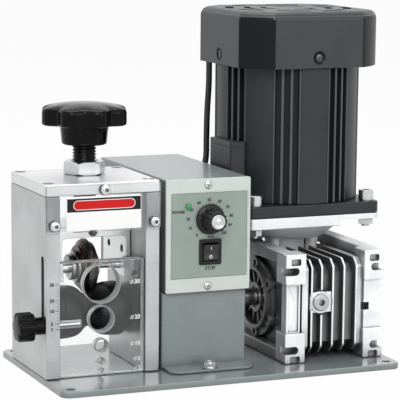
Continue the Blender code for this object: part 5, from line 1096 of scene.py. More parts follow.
@dataclass
class GuidePlate:
    """Clear plate with the five wire holes, and the knob and stud that lock it."""

    x0: float = -134.4
    x1: float = -63.4
    y0: float = -36.0
    y1: float = -26.0
    z0: float = 5.6
    z1: float = 97.6
    hole_x: float = -98.8
    holes: tuple[tuple[float, float], ...] = ((15.0, 79.1), (10.0, 50.5), (5.0, 29.0), (2.5, 16.4), (1.5, 9.2))
    marks: tuple[tuple[str, Pair], ...] = (("30", (-71.4, 79.3)), ("20", (-71.0, 50.5)), ("10", (-71.0, 29.0)),
                                           ("5", (-69.6, 16.4)), ("3", (-69.3, 8.6)))
    lock: Pair = (-31.0, 47.9)

    def build(self) -> None:
        """Makes plate, engraved sizes and lock."""
        sheet = Solid().block((self.x0, self.y0, self.z0), (self.x1, self.y1, self.z1), 0.5, 0.8, Axis.Y)
        holes = Solid()
        for radius, z in self.holes:
            ease = min(0.9, radius * 0.3)
            holes.drill(radius, self.y0, self.y1, (self.hole_x, z), Axis.Y, ease, 96 if radius > 4 else 40)
        stud_hole = Solid().rod(3.3, self.x0 - OVER, -115.7, self.lock, Axis.X, 32)
        sheet.cut(holes, stud_hole)
        plate = piece("clear_guide", sheet, Finishes.CLEAR, "guide", "clear_acrylic", "guide_plate")
        frost_edges(plate, Finishes.FROSTED)
        self.sizes()
        self.knob()
        stud = Solid().lathe(((3.0, -159.7), (3.0, -116.6), (2.5, -116.0)), self.lock, Axis.X, 32)
        piece("lock_stud", stud, Finishes.STEEL, "guide_lock", "bright_steel", "guide_lock_stud")

    def sizes(self) -> None:
        """Hole sizes beside the holes, each after a diameter sign."""
        words = [(text, (x + 2.2, z), 3.3) for text, (x, z) in self.marks]
        print_ = lettering(words, self.y0)
        for text, (x, z) in self.marks:
            at = (x - 2.3 if len(text) > 1 else x - 1.0, z)
            ring = [(1.45, self.y0 - PROUD), (1.45, self.y0), (1.0, self.y0), (1.0, self.y0 - PROUD)]
            print_.lathe(ring, at, Axis.Y, 24, loop=True)
            bar = [(at[0] - 1.5, z - 1.8), (at[0] - 1.1, z - 1.8), (at[0] + 1.5, z + 1.8), (at[0] + 1.1, z + 1.8)]
            print_.prism(bar, self.y0 - PROUD, self.y0, Axis.Y)
        piece("guide_size_marks", print_, Finishes.ENGRAVING, "guide", "clear_acrylic")

    def knob(self) -> None:
        """Small fluted locking knob."""
        line = ((3.3, 0.0, -160.0), (3.3, 0.0, -147.0), (6.5, 0.0, -147.0), (7.0, 0.0, -147.5), (7.0, 0.0, -154.2),
                (7.6, 0.1, -155.1), (9.6, 0.8, -155.3), (10.6, 0.8, -155.5), (11.0, 0.8, -156.3),
                (11.0, 0.8, -167.0), (10.7, 0.8, -167.9), (9.8, 0.7, -168.5), (7.0, 0.2, -168.9), (1.0, 0.0, -169.0))
        rings = []
        for radius, swing, x in line:
            reach = (lambda a, r=radius, s=swing: r + s * self.flute(a))
            rings.append([(x, u, v) for u, v in lobed(reach, 144, self.lock)])
        piece("lock_knob_fluted", Solid().skin(rings), Finishes.KNOB, "guide_lock", "knob_plastic",
              "guide_lock_knob", angle=60.0)

    def flute(self, angle: float) -> float:
        """Swing of the knob's rim at an angle: six broad lobes with narrow hollows."""
        return 1.0 - 2.4 * ((1.0 - math.cos(6 * angle)) / 2.0) ** 3


@dataclass
class FeedRoller:
    """Toothed V roller and the shaft that the gearbox turns."""

    axis: Pair = (16.0, 48.5)
    middle: float = -95.3
    radius: float = 22.0
    root: float = 12.8
    half: float = 31.2
    land: float = 18.0
    flank: tuple[Pair, ...] = ((21.5, 15.0), (20.9, 12.0), (19.9, 9.6), (18.5, 7.4), (16.4, 5.4), (14.7, 3.4),
                               (13.4, 1.6))
    teeth: int = 60

    def build(self) -> None:
        """Makes roller and shaft."""
        line = [(7.3, -self.half, 0.0), (16.8, -self.half, 0.0), (18.9, -self.half + 0.5, 0.0),
                (20.7, -self.half + 1.9, 0.0), (21.7, -self.half + 4.0, 0.0), (self.radius, -25.2, 0.0),
                (21.6, -25.0, 0.0), (21.6, -24.4, 0.0), (self.radius, -24.2, 0.0)]
        line += [(self.radius - 0.3, -self.land, 0.0)]
        line += [(radius, -offset, 1.0) for radius, offset in self.flank]
        line.append((self.root, 0.0, 0.0))
        line += [(radius, -offset, tooth) for radius, offset, tooth in reversed(line[:-1])]
        rings = []
        for radius, offset, tooth in line:
            reach = (lambda a, r=radius, t=tooth: r + t * 0.4 * (self.tooth(a) - 1.0))
            rings.append([(self.middle + offset, u, v) for u, v in lobed(reach, self.teeth * 4, self.axis)])
        piece("toothed_roller", Solid().skin(rings, loop=True), Finishes.ROLLER, "drive", "dark_steel",
              "feed_roller", angle=30.0)
        profile = ((6.4, -141.2), (7.0, -140.6), (7.0, 127.4), (6.4, 128.0))
        shaft = Solid().lathe(profile, self.axis, Axis.X, 64)
        piece("steel_shaft", shaft, Finishes.STEEL, "drive", "bright_steel", "drive_shaft")

    def tooth(self, angle: float) -> float:
        """Saw-like swing of the toothed faces at an angle."""
        phase = (angle * self.teeth / math.tau) % 1.0
        return phase * 2.0 - 1.0 if phase < 0.8 else 1.0 - (phase - 0.8) * 10.0


@dataclass
class DriveCover:
    """Sheet cover over the drive shaft, with its foot and flange bolt."""

    x0: float = -47.4
    x1: float = 26.4
    y0: float = -34.2
    y1: float = 66.0
    z0: float = 5.3
    z1: float = 67.2
    wall: float = 2.0
    foot: float = -57.5
    bolt: Pair = (-12.0, -50.4)
    shaft: Pair = (16.0, 48.5)

    def build(self) -> None:
        """Makes cover and bolt."""
        shell = Solid().block((self.x0, self.y0, self.z0), (self.x1, self.y1, self.z1), 0.8, 1.4, Axis.Z)
        shell.join(self.tongue())
        inside = Solid().block((self.x0 + self.wall, self.y0 + self.wall, self.z0 - OVER),
                               (self.x1 - self.wall, self.y1 - self.wall, self.z1 - self.wall))
        holes = Solid().rod(10.0, self.x0 - OVER, self.x1 + OVER, self.shaft, Axis.X, 48)
        bolt_hole = Solid().rod(2.9, self.z0 - OVER, self.z0 + self.wall + OVER, self.bolt, steps=24)
        piece("drive_housing", shell.cut(inside, holes, bolt_hole), Finishes.COVER, "frame", "cover_paint",
              "drive_cover")
        self.flange_bolt()

    def tongue(self) -> Solid:
        """Foot that reaches forward under the bolt, with two round corners."""
        back, corner = self.y0 + 12.0, 8.0
        outline = [(self.x0 + 0.6, back), (self.x0 + 0.6, self.foot + corner)]
        for k in range(1, 7):
            angle = math.pi * (1 + k / 12)
            outline.append((self.x0 + 0.6 + corner * (1 + math.cos(angle)),
                            self.foot + corner * (1 + math.sin(angle))))
        for k in range(1, 7):
            angle = math.pi * (1.5 + k / 12)
            outline.append((self.x1 - 0.6 - corner * (1 - math.cos(angle)),
                            self.foot + corner * (1 + math.sin(angle))))
        outline.append((self.x1 - 0.6, back))
        return Solid().prism(outline, self.z0 + 0.01, self.z0 + self.wall, edge=0.5)

    def flange_bolt(self) -> None:
        """Hexagon bolt with a flange and a washer under it."""
        low = self.z0 + self.wall + 0.3
        washer = ((2.4, 1.0), (2.4, low), (6.6, low), (6.6, low + 0.7), (5.9, low + 1.2), (5.0, low + 1.3),
                  (4.7, low + 1.6), (2.0, low + 1.8))
        bolt = Solid().lathe(washer, self.bolt, steps=56)
        head = Solid().prism(circle(5.3, 6, self.bolt, math.radians(15.0)), low + 1.2, low + 4.9)
        crown = Solid().lathe(((4.6, low + 1.0), (5.4, low + 1.4), (5.4, low + 4.2), (4.5, low + 4.9)),
                              self.bolt, steps=56)
        dish = Solid().lathe(((2.6, low + 4.5), (3.4, low + 5.2), (3.4, low + 7.0)), self.bolt, steps=32)
        bolt.join(head.common(crown)).cut(dish)
        piece("flange_bolt", bolt, Finishes.ZINC, "frame", "zinc", "cover_bolt", angle=25.0)


@dataclass
class ControlBox:
    """Folded steel box behind the panel, with the gland of the mains cord."""

    x0: float = -45.0
    x1: float = 27.4
    y0: float = -35.6
    y1: float = 116.0
    z0: float = 67.5
    z1: float = 159.5
    wall: float = 2.0
    cable_hole: tuple[Pair, float] = ((79.0, 147.0), 4.6)
    gland: Pair = (-22.0, 92.0)

    def build(self) -> None:
        """Makes box and gland."""
        box = Solid().block((self.x0, self.y0, self.z0), (self.x1, self.y1, self.z1), 0.9, 1.3, Axis.Y)
        inside = Solid().block((self.x0 + self.wall, self.y0 - OVER, self.z0 + self.wall),
                               (self.x1 - self.wall, self.y1 - self.wall, self.z1 - self.wall))
        place, radius = self.cable_hole
        cable = Solid().rod(radius, self.x1 - 5.0, self.x1 + OVER, place, Axis.X)
        back = Solid().rod(6.3, self.y1 - 5.0, self.y1 + OVER, self.gland, Axis.Y)
        piece("control_housing", box.cut(inside, cable, back), Finishes.COVER, "frame", "cover_paint",
              "control_box")
        face = self.y1 + 0.3
        profile = ((3.3, self.y1 - 9.0), (6.0, self.y1 - 9.0), (6.0, face), (9.0, face), (9.0, face + 5.0),
                   (7.6, face + 5.3), (7.6, face + 11.4), (6.2, face + 13.0), (3.3, face + 13.0))
        gland = Solid().lathe(profile, self.gland, Axis.Y, 48, loop=True)
        piece("cable_gland", gland, Finishes.PLASTIC, "frame", "black_plastic", "cord_gland")


@dataclass
class Panel:
    """Front of the control box: bezel, printed panel, speed knob, switch and lamp."""

    x0: float = -45.5
    x1: float = 27.9
    z0: float = 67.6
    z1: float = 159.6
    back: float = -35.9
    thick: float = 2.6
    window_low: Pair = (-41.2, 79.0)
    window_high: Pair = (25.2, 148.2)
    face: float = -37.8
    dial: Pair = (-7.5, 126.6)
    switch: Pair = (-7.2, 100.0)
    lamp: Pair = (-26.5, 137.6)
    screws: tuple[float, ...] = (154.6, 72.4)
    screw_x: float = -9.4

    def build(self) -> None:
        """Makes everything on the front."""
        self.bezel()
        self.print()
        self.speed_knob()
        self.power_switch()
        self.power_lamp()

    def bezel(self) -> None:
        """Frame with a stepped window, its film and two cross-head screws."""
        front = self.back - self.thick
        frame_ = Solid().block((self.x0, front, self.z0), (self.x1, self.back, self.z1), 0.6, 1.6, Axis.Y)
        (x0, z0), (x1, z1) = self.window_low, self.window_high
        hole = Solid().block((x0, front - OVER, z0), (x1, self.back + OVER, z1), 0.0, 1.0, Axis.Y)
        rebate = Solid().block((x0 - 0.8, front - OVER, z0 - 0.8), (x1 + 0.8, front + 0.5, z1 + 0.8), 0.0, 1.6, Axis.Y)
        frame_.cut(hole, rebate)
        for z in self.screws:
            frame_.cut(Solid().rod(1.9, front - OVER, self.back + OVER, (self.screw_x, z), Axis.Y, 24))
        piece("panel_frame", frame_, Finishes.BEZEL, "frame", "bezel_paint", "control_bezel")
        film = Solid().block((x0 + 0.3, self.face, z0 + 0.3), (x1 - 0.3, self.face + 1.6, z1 - 0.3), 0.1, 0.6, Axis.Y)
        (dx, dz), (sx, sz) = self.dial, self.switch
        shaft = Solid().rod(3.9, self.face - OVER, self.face + 4.0, (dx, dz), Axis.Y, 32)
        lamp = Solid().rod(3.3, self.face - OVER, self.face + 4.0, self.lamp, Axis.Y, 32)
        switch = Solid().block((sx - 8.8, self.face - OVER, sz - 9.5), (sx + 8.8, self.face + 4.0, sz + 9.5))
        piece("panel_film_sheet", film.cut(shaft, lamp, switch), Finishes.PANEL, "frame", "panel_paint",
              "control_panel")
        for count, z in enumerate(self.screws, 1):
            at = (self.screw_x, z)
            profile = ((1.5, front + 8.7), (1.5, front - 0.3), (3.3, front - 0.3), (3.2, front - 0.9),
                       (2.5, front - 1.6), (1.2, front - 1.95))
            screw = Solid().lathe(profile, at, Axis.Y, 32)
            for turn in (20.0, 110.0):
                slot = Solid().block((at[0] - 2.0, front - 4.0, z - 0.4), (at[0] + 2.0, front - 1.0, z + 0.4))
                screw.cut(slot.turned(turn, (at[0], front, z), Axis.Y))
            piece(f"cross_head_screw_{count}", screw, Finishes.ZINC, "frame", "zinc", f"bezel_screw_{count}")

    def print(self) -> None:
        """Words, numbers and the dial's ticks."""
        dx, dz = self.dial
        words = [("POWER", (-34.6, 133.2), 2.2), ("RUN", (-6.6, 112.0), 1.9), ("STOP", (-6.8, 86.4), 2.6)]
        for number in range(0, 101, 10):
            angle = math.radians(234.0 - 2.84 * number)
            words.append((str(number), (dx + 18.9 * math.cos(angle), dz + 15.6 * math.sin(angle)), 2.3))
        marks = lettering(words, self.face)
        for step in range(0, 101, 5):
            angle = 234.0 - 2.84 * step
            far = 13.9 if step % 10 == 0 else 13.4
            tick = Solid().block((dx + 12.8, self.face - PROUD, dz - 0.22), (dx + far, self.face, dz + 0.22))
            tick.turned(-angle, (dx, self.face, dz), Axis.Y)
            marks.take(tick)
        piece("panel_print", marks, Finishes.INK_BLACK, "frame", "panel_paint")

    def speed_knob(self) -> None:
        """Fluted knob with a skirt, its pointer mark and a turned metal cap."""
        dx, dz = self.dial
        foot = self.face - 0.3
        top = foot - 2.6 - 13.8
        line = ((3.2, 0.0, foot - 12.0), (3.2, 0.0, foot), (12.0, 0.0, foot), (12.4, 0.0, foot - 0.5),
                (12.3, 0.0, foot - 1.4), (11.6, 0.0, foot - 2.3), (9.6, 0.2, foot - 2.7), (8.8, 0.45, foot - 3.4),
                (8.3, 0.45, top + 2.2), (8.2, 0.45, top + 0.9), (7.8, 0.3, top + 0.3), (7.2, 0.0, top))
        rings = []
        for radius, swing, y in line:
            reach = (lambda a, r=radius, s=swing: r + s * math.cos(12 * a))
            rings.append([(u, y, v) for u, v in lobed(reach, 144, self.dial)])
        piece("speed_knob_fluted", Solid().skin(rings), Finishes.PLASTIC, "speed_dial", "black_plastic",
              "speed_knob", angle=50.0)
        pointer = Solid().block((dx + 9.4, foot - 2.75, dz - 0.7), (dx + 12.6, foot - 0.4, dz + 0.7))
        piece("speed_knob_pointer", pointer, Finishes.INK_WHITE, "speed_dial", "black_plastic")
        under = top - 0.3
        profile = ((5.9, under), (5.9, under - 0.9), (5.5, under - 1.3), (4.8, under - 1.3), (4.6, under - 1.1),
                   (4.3, under - 1.1), (4.1, under - 1.3), (3.4, under - 1.3), (3.2, under - 1.15),
                   (3.0, under - 1.15), (2.8, under - 1.3), (0.4, under - 1.4))
        piece("turned_knob_cap", Solid().lathe(profile, self.dial, Axis.Y, 72), Finishes.CAP, "speed_dial",
              "bright_steel", "speed_knob_cap")

    def power_switch(self) -> None:
        """Rocker switch with its two marks."""
        sx, sz = self.switch
        lip = self.face - 0.3
        body = Solid().block((sx - 9.7, lip - 1.2, sz - 10.5), (sx + 9.7, lip, sz + 10.5), 0.45, 1.6, Axis.Y)
        body.join(Solid().block((sx - 8.5, lip - 0.2, sz - 9.2), (sx + 8.5, -24.0, sz + 9.2)))
        body.cut(Solid().block((sx - 6.8, lip - 5.0, sz - 7.7), (sx + 6.8, -29.0, sz + 7.7), 0.0, 0.8, Axis.Y))
        piece("switch_frame", body, Finishes.PLASTIC, "frame", "black_plastic", "power_switch")
        half, pivot = 6.6, -38.0
        profile = [(pivot + 4.0, sz - half + 0.6), (pivot - 3.2, sz - half), (pivot - 2.4, sz - 3.0),
                   (pivot - 1.9, sz), (pivot - 2.4, sz + 3.0), (pivot - 3.2, sz + half), (pivot + 4.0, sz + half - 0.6)]
        rocker = Solid().prism(eased(profile, 0.9), sx - 6.4, sx + 6.4, Axis.X, 0.45)
        turn, middle = 7.0, (sx, pivot, sz)
        piece("switch_rocker", rocker.turned(turn, middle, Axis.X), Finishes.ROCKER, "rocker", "black_plastic",
              "power_rocker", angle=30.0)
        marks = lettering([("O", (sx, sz - 3.6), 2.6)], pivot - 2.58, 0.1)
        marks.turned(-7.6, (sx, pivot - 2.58, sz - 3.6), Axis.X)
        bar = Solid().block((sx - 0.25, pivot - 2.66, sz + 2.3), (sx + 0.25, pivot - 2.48, sz + 4.9))
        marks.take(bar.turned(7.6, (sx, pivot - 2.58, sz + 3.6), Axis.X))
        piece("switch_marks", marks.turned(turn, middle, Axis.X), Finishes.INK_WHITE, "rocker", "black_plastic")

    def power_lamp(self) -> None:
        """Green lamp with a thin dark collar."""
        front = self.face - 0.3
        profile = ((2.9, -30.0), (2.9, front), (3.4, front), (3.4, front - 0.3), (3.1, front - 0.6),
                   (2.5, front - 0.6), (2.4, front - 1.2), (1.9, front - 1.9), (1.1, front - 2.2), (0.2, front - 2.2))
        lamp = piece("lamp_lens_green", Solid().lathe(profile, self.lamp, Axis.Y, 48), Finishes.LAMP, "frame",
                     "lamp_green", "power_lamp")
        lamp.data.materials.append(Finishes.PLASTIC.material())
        middle = Vector((self.lamp[0], self.lamp[1])) * TO_METRES
        for face in lamp.data.polygons:
            away = (Vector((face.center.x, face.center.z)) - middle).length
            if away > 2.2 * TO_METRES or face.center.y > front * TO_METRES:
                face.material_index = 1
        repaint(lamp, Finishes.PANEL, lambda at, normal: math.hypot(at.x - self.lamp[0], at.z - self.lamp[1]) > 2.7)


@dataclass
class MotorMount:
    """Cast cone, adapter plate and motor flange with their four socket bolts."""

    axis: Pair = (97.9, 45.9)
    half: float = 60.2
    cone_low: float = 83.3
    plate_low: float = 110.6
    step: float = 115.4
    step_x: float = 121.4
    plate_high: float = 119.8
    flange_low: float = 120.1
    flange_high: float = 129.8
    bolt_inset: float = 8.7

    def build(self) -> None:
        """Makes cone, plates and bolts."""
        x, y = self.axis
        low, high = self.cone_low, self.plate_low - 0.3
        profile = ((12.5, low), (17.0, low), (17.0, 96.2), (33.0, 96.6), (34.0, 97.2), (47.0, 107.6),
                   (48.0, 108.8), (48.0, high - 0.3), (47.7, high), (12.5, high))
        cone = Solid().lathe(profile, self.axis, steps=96, loop=True)
        for sx, sy in SIGNS:
            boss = Solid().lathe(((4.6, low), (5.0, low + 0.4), (5.0, 100.5)), (x + 17.6 * sx, y + 17.6 * sy), steps=32)
            cone.join(boss)
        # Painted light: the cone and, below it, the neck take paler copies of the cast finish.
        made = piece("input_cone", cone, Finishes.CONE_LIT, "frame", "cast_aluminium", "input_flange")
        repaint(made, Finishes.NECK_LIT, lambda centre, normal: centre.z < 96.5)
        self.plates()
        self.bolts()

    def places(self) -> list[Pair]:
        """Where the four bolts stand."""
        (x, y), at = self.axis, self.half - self.bolt_inset
        return [(x + sx * at, y + sy * at) for sx, sy in SIGNS]

    def plates(self) -> None:
        """Adapter plate with its thin right side, and the square flange."""
        (x, y), half = self.axis, self.half
        plate = Solid().block((x - half, y - half, self.plate_low), (x + half, y + half, self.plate_high), 0.6, 5.0)
        plate.cut(Solid().block((self.step_x, y - half - OVER, self.plate_low - OVER),
                                (x + half + OVER, y + half + OVER, self.step)))
        flange = Solid().block((x - half, y - half, self.flange_low), (x + half, y + half, self.flange_high), 0.9, 5.0)
        for made, low, high, bore in ((plate, self.plate_low, self.plate_high, 12.0),
                                      (flange, self.flange_low, self.flange_high, 8.4)):
            for at in self.places():
                made.cut(Solid().rod(3.5, low - OVER, high + OVER, at, steps=24))
            made.cut(Solid().rod(bore, low - OVER, high + OVER, self.axis, steps=48))
        piece("adapter_square", plate, Finishes.ADAPTER, "frame", "head_aluminium", "adapter_plate")
        piece("motor_square_flange", flange, Finishes.FLANGE, "frame", "motor_paint", "motor_flange")

    def bolts(self) -> None:
        """Socket bolts with nuts under the adapter plate."""
        seat = self.flange_high + 0.3
        for count, at in enumerate(self.places(), 1):
            under = (self.step if at[0] > self.step_x else self.plate_low) - 0.3
            profile = ((3.2, under - 7.2), (3.2, seat), (6.3, seat), (6.3, seat + 7.9), (5.7, seat + 8.6),
                       (0.4, seat + 8.6))
            bolt = Solid().lathe(profile, at, steps=48)
            nut = Solid().prism(circle(6.4, 6, at, 0.3), under - 5.6, under, edge=0.4)
            bolt.join(nut).cut(Solid().prism(circle(3.2, 6, at, 0.6), seat + 5.0, seat + 10.0))
            piece(f"socket_bolt_{count}", bolt, Finishes.ZINC, "frame", "zinc", f"motor_bolt_{count}", angle=25.0)


@dataclass
class MotorCable:
    """Twin black lead from the motor into the control box."""

    route: tuple[Triple, ...] = ((39.5, 78.0, 252.0), (39.5, 78.0, 225.0), (38.6, 79.0, 200.0),
                                 (38.8, 80.5, 178.0), (38.4, 80.0, 162.0), (36.4, 79.5, 152.0),
                                 (33.2, 79.0, 147.0), (23.6, 79.0, 145.0))
    radius: float = 1.9
    offset: float = 1.75
    around: int = 32

    def build(self) -> None:
        path = self.smooth()
        side = Vector((1.0, 0.0, 0.0))
        rings = []
        for i, here in enumerate(path):
            ahead = (path[min(i + 1, len(path) - 1)] - path[max(i - 1, 0)]).normalized()
            across = Vector((0.0, 1.0, 0.0))
            across = (across - ahead * across.dot(ahead)).normalized()
            side = across.cross(ahead)
            ring = []
            for u, v in self.section():
                ring.append(tuple(here + across * u + side * v))
            rings.append(ring)
        lead = piece("twin_lead", Solid().skin(rings), Finishes.CABLE, "frame", "cable_sheath", "motor_cable",
                     angle=60.0)
        length = sum((b - a).length for a, b in zip(path, path[1:])) * TO_METRES
        metres = [tuple(point * TO_METRES) for point in path]
        2 * (self.radius + self.offset) * TO_METRES
        LOG.info("twin lead is %.3f m long", length)

    def section(self) -> Outline:
        """Outline of two round leads side by side."""
        points = []
        for k in range(self.around):
            angle = math.tau * k / self.around
            reach = self.offset * abs(math.cos(angle))
            under = max(0.0, self.radius ** 2 - (self.offset * math.sin(angle)) ** 2)
            away = reach + math.sqrt(under)
            points.append((away * math.cos(angle), away * math.sin(angle)))
        return points

    def smooth(self, steps: int = 8) -> list[Vector]:
        """Route with a smooth line through its points."""
        points = [Vector(p) for p in self.route]
        padded = [points[0] * 2 - points[1], *points, points[-1] * 2 - points[-2]]
        made = []
        for a, b, c, d in zip(padded, padded[1:], padded[2:], padded[3:]):
            for k in range(steps):
                t = k / steps
                made.append(0.5 * (2 * b + (c - a) * t + (2 * a - 5 * b + 4 * c - d) * t ** 2
                                   + (3 * b - a - 3 * c + d) * t ** 3))
        return made + [points[-1]]


@dataclass
class Gearbox:
    """Worm gearbox: ribbed housing with corner pads, output cover and oil plug."""

    x0: float = 53.3
    x1: float = 142.5
    y0: float = -54.5
    y1: float = 77.5
    deck: float = 5.3
    top: float = 95.9
    pad: Triple = (18.0, 19.0, 25.0)
    rail: Pair = (13.0, 9.2)
    core_top: float = 83.0
    fins: tuple[float, ...] = (78.2, 87.2, 97.4, 107.6, 118.8)
    wheel_axis: Pair = (16.0, 48.5)
    worm_axis: Pair = (97.9, 45.9)
    plug: Pair = (86.6, 54.2)

    def build(self) -> None:
        """Makes housing, output cover and plug."""
        housing = Solid().prism(self.side_view(-45.0, 76.0, 13.0, self.core_top, 7.0), 62.0, 134.0, Axis.X, 0.5)
        housing.join(*self.rails(), *self.ribs())
        px, pz = self.plug
        clearing = Solid().rod(10.6, -60.0, -44.8, self.plug, Axis.Y, 64)
        web = Solid().block((px - 9.6, -50.4, pz - 8.6), (px + 11.4, -44.0, pz + 8.6), 0.6, 2.4, Axis.Y)
        boss = Solid().lathe(((9.4, -44.0), (9.4, -50.4), (8.8, -51.0), (2.0, -51.0)), self.plug, Axis.Y, 64)
        housing.cut(clearing).join(web, boss)
        housing.cut(*self.rooms(), *self.slots())
        low, high = self.deck + 26.6, self.top - 26.6
        bulge = [(self.x0 + 3.1 + 5.6 * math.sin(math.pi * k / 16), low + (high - low) * k / 16) for k in range(17)]
        housing.join(Solid().prism(bulge, self.y0 + 2.6, self.y0 + 3.6, Axis.Y))
        made = piece("gearbox_casting", housing, Finishes.CAST, "frame", "cast_aluminium", "gearbox_housing",
                     angle=28.0)
        # Painted shade: left-facing faces, the rails' left faces and the faces between the fins get darker copies of
        # the cast finish.
        repaint(made, Finishes.CAST_SHADE_DARK, lambda at, normal: normal.x < -0.6 and 56.0 < at.x < 64.0)
        repaint(made, Finishes.CAST_SHADE, lambda at, normal: normal.x < -0.6 and at.x < 55.0 and at.y > -35.0)
        repaint(made, Finishes.CAST_SHADE, lambda at, normal: 76.1 < at.x < 119.1 and at.z < self.core_top and (
            abs(normal.x) > 0.8 or (normal.y < -0.5 and at.y > -46.0)))
        self.output_cover()
        self.oil_plug()

    def side_view(self, front: float, back: float, low: float, high: float, chamfer: float) -> Outline:
        """Outline in YZ with the front corners cut off."""
        return [(front + chamfer, low), (back, low), (back, high), (front + chamfer, high),
                (front, high - chamfer), (front, low + chamfer)]

    def rails(self) -> list[Solid]:
        """Long feet of both sides, their corner pads and the strips between the pads."""
        made = []
        wide, deep, tall = self.pad
        for x0, x1, rail0, rail1, strip, width in (
                (self.x0, self.x0 + wide, self.x0, self.x0 + self.rail[0], self.x0 + 1.4, 12.5),
                (self.x1 - wide, self.x1, self.x1 - self.rail[0], self.x1, self.x1 - 17.2, 15.8)):
            for low, high in ((self.deck, self.deck + self.rail[1]), (self.top - self.rail[1], self.top)):
                made.append(Solid().block((rail0, self.y0 + 6.0, low), (rail1, self.y1, high), 0.6, 0.9, Axis.Y))
            for low in (self.deck, self.top - tall):
                made.append(Solid().block((x0, self.y0, low), (x1, self.y0 + deep, low + tall), 0.7, 1.2, Axis.Y))
            made.append(Solid().block((strip, self.y0 + 2.0, self.deck + tall - 1.0),
                                      (strip + width, -43.0, self.top - tall + 1.0), 0.5, 0.8, Axis.Y))
        return made

    def ribs(self) -> list[Solid]:
        """Cooling fins and the two thicker walls beside them."""
        fin = self.side_view(-51.5, 69.0, 11.0, 89.6, 6.0)
        wall = self.side_view(-49.5, 62.0, 10.7, 88.6, 6.0)
        made = [Solid().prism(eased(fin, 1.5), x - 0.85, x + 0.85, Axis.X, 0.3) for x in self.fins]
        made += [Solid().prism(eased(wall, 1.5), x0, x1, Axis.X, 0.6) for x0, x1 in ((70.0, 76.0), (119.2, 126.0))]
        return made

    def rooms(self) -> list[Solid]:
        """Room for the wheel, the worm and the neck, and the bores."""
        made = [Solid().rod(25.0, self.x0 - OVER, 118.0, self.wheel_axis, Axis.X, 64),
                Solid().rod(7.4, 116.0, 128.4, self.wheel_axis, Axis.X),
                Solid().rod(31.0, self.core_top, self.top + OVER, self.worm_axis, steps=96),
                Solid().rod(11.5, 27.0, self.core_top + OVER, self.worm_axis, steps=48),
                Solid().rod(6.2, 17.7, 29.0, self.worm_axis),
                Solid().rod(4.3, -55.0, -45.7, self.plug, Axis.Y)]
        made.append(Solid().block((self.x1 - 18.6, self.y0 - OVER, 45.6), (self.x1 - 12.4, -44.6, 52.0)))
        made.append(Solid().block((self.x0 + 2.9, self.y0 - OVER, self.deck + 26.2),
                                  (self.x0 + 12.4, self.y0 + 3.4, self.top - 26.2), 0.0, 0.8, Axis.Y))
        return made

    def slots(self) -> list[Solid]:
        """Bolt slots with round inner ends and the shallow pockets of the pads."""
        made = []
        wide, _, tall = self.pad
        for side, outer in ((1, self.x0), (-1, self.x1)):
            for low in (self.deck, self.top - tall):
                middle = low + tall / 2 - 1.6
                ends = sorted((outer - side * 4.0, outer + side * 12.0))
                slot = rounded((ends[0], middle - 3.2), (ends[1], middle + 3.2), 3.18, 8)
                made.append(Solid().prism(slot, self.y0 - OVER, self.y0 + 9.5, Axis.Y))
                centre = outer + side * wide / 2
                at = middle + 4.8 if low > self.deck else middle - 10.6
                made.append(Solid().block((centre - 4.4, self.y0 - OVER, at), (centre + 4.4, self.y0 + 3.6, at + 5.6),
                                          0.0, 1.2, Axis.Y))
        return made

    def output_cover(self) -> None:
        """Dark cover round the shaft, with rings, ribs and six screws."""
        seat = 61.7
        profile = ((7.4, seat), (33.0, seat), (33.0, 59.0), (32.4, 58.5), (27.4, 58.5), (27.0, 58.1), (27.0, 55.4),
                   (26.5, 54.9), (24.0, 54.9), (23.5, 55.4), (23.5, 59.9), (17.0, 60.1), (13.4, 60.1),
                   (13.0, 59.7), (13.0, 57.6), (12.5, 57.1), (9.0, 57.1), (8.4, 58.0), (7.4, 58.0))
        cover = Solid().lathe(profile, self.wheel_axis, Axis.X, 128, loop=True)
        y, z = self.wheel_axis
        sockets = []
        for k in range(6):
            angle = math.radians(30.0 + 60.0 * k)
            at = (y + 29.6 * math.cos(angle), z + 29.6 * math.sin(angle))
            cover.join(Solid().lathe(((5.6, seat), (5.6, 57.4), (5.0, 56.8), (0.5, 56.8)), at, Axis.X, 32))
            sockets.append(Solid().rod(2.4, 54.0, 59.4, at, Axis.X, 24))
        for k in range(12):
            angle = 15.0 + 30.0 * k
            rib = Solid().block((58.2, y + 12.6, z - 0.8), (seat - 0.2, y + 24.0, z + 0.8))
            cover.join(rib.turned(angle, (58.2, y, z), Axis.X))
        piece("output_casting", cover.cut(*sockets), Finishes.CAST_DARK, "frame", "dark_casting", "output_cover",
              angle=28.0)

    def oil_plug(self) -> None:
        """Round plug with a hexagon socket, flush in its boss."""
        under = -51.3
        profile = ((4.0, -46.0), (4.0, under), (6.9, under), (6.9, under - 1.4), (6.2, under - 2.1),
                   (4.2, under - 2.3), (0.5, under - 2.3))
        plug = Solid().lathe(profile, self.plug, Axis.Y, 56)
        socket = Solid().prism(circle(2.9, 6, self.plug, 0.2), under - 4.0, under + 1.0, Axis.Y)
        piece("oil_plug_socket", plug.cut(socket), Finishes.PLUG, "frame", "zinc", "oil_plug", angle=25.0)


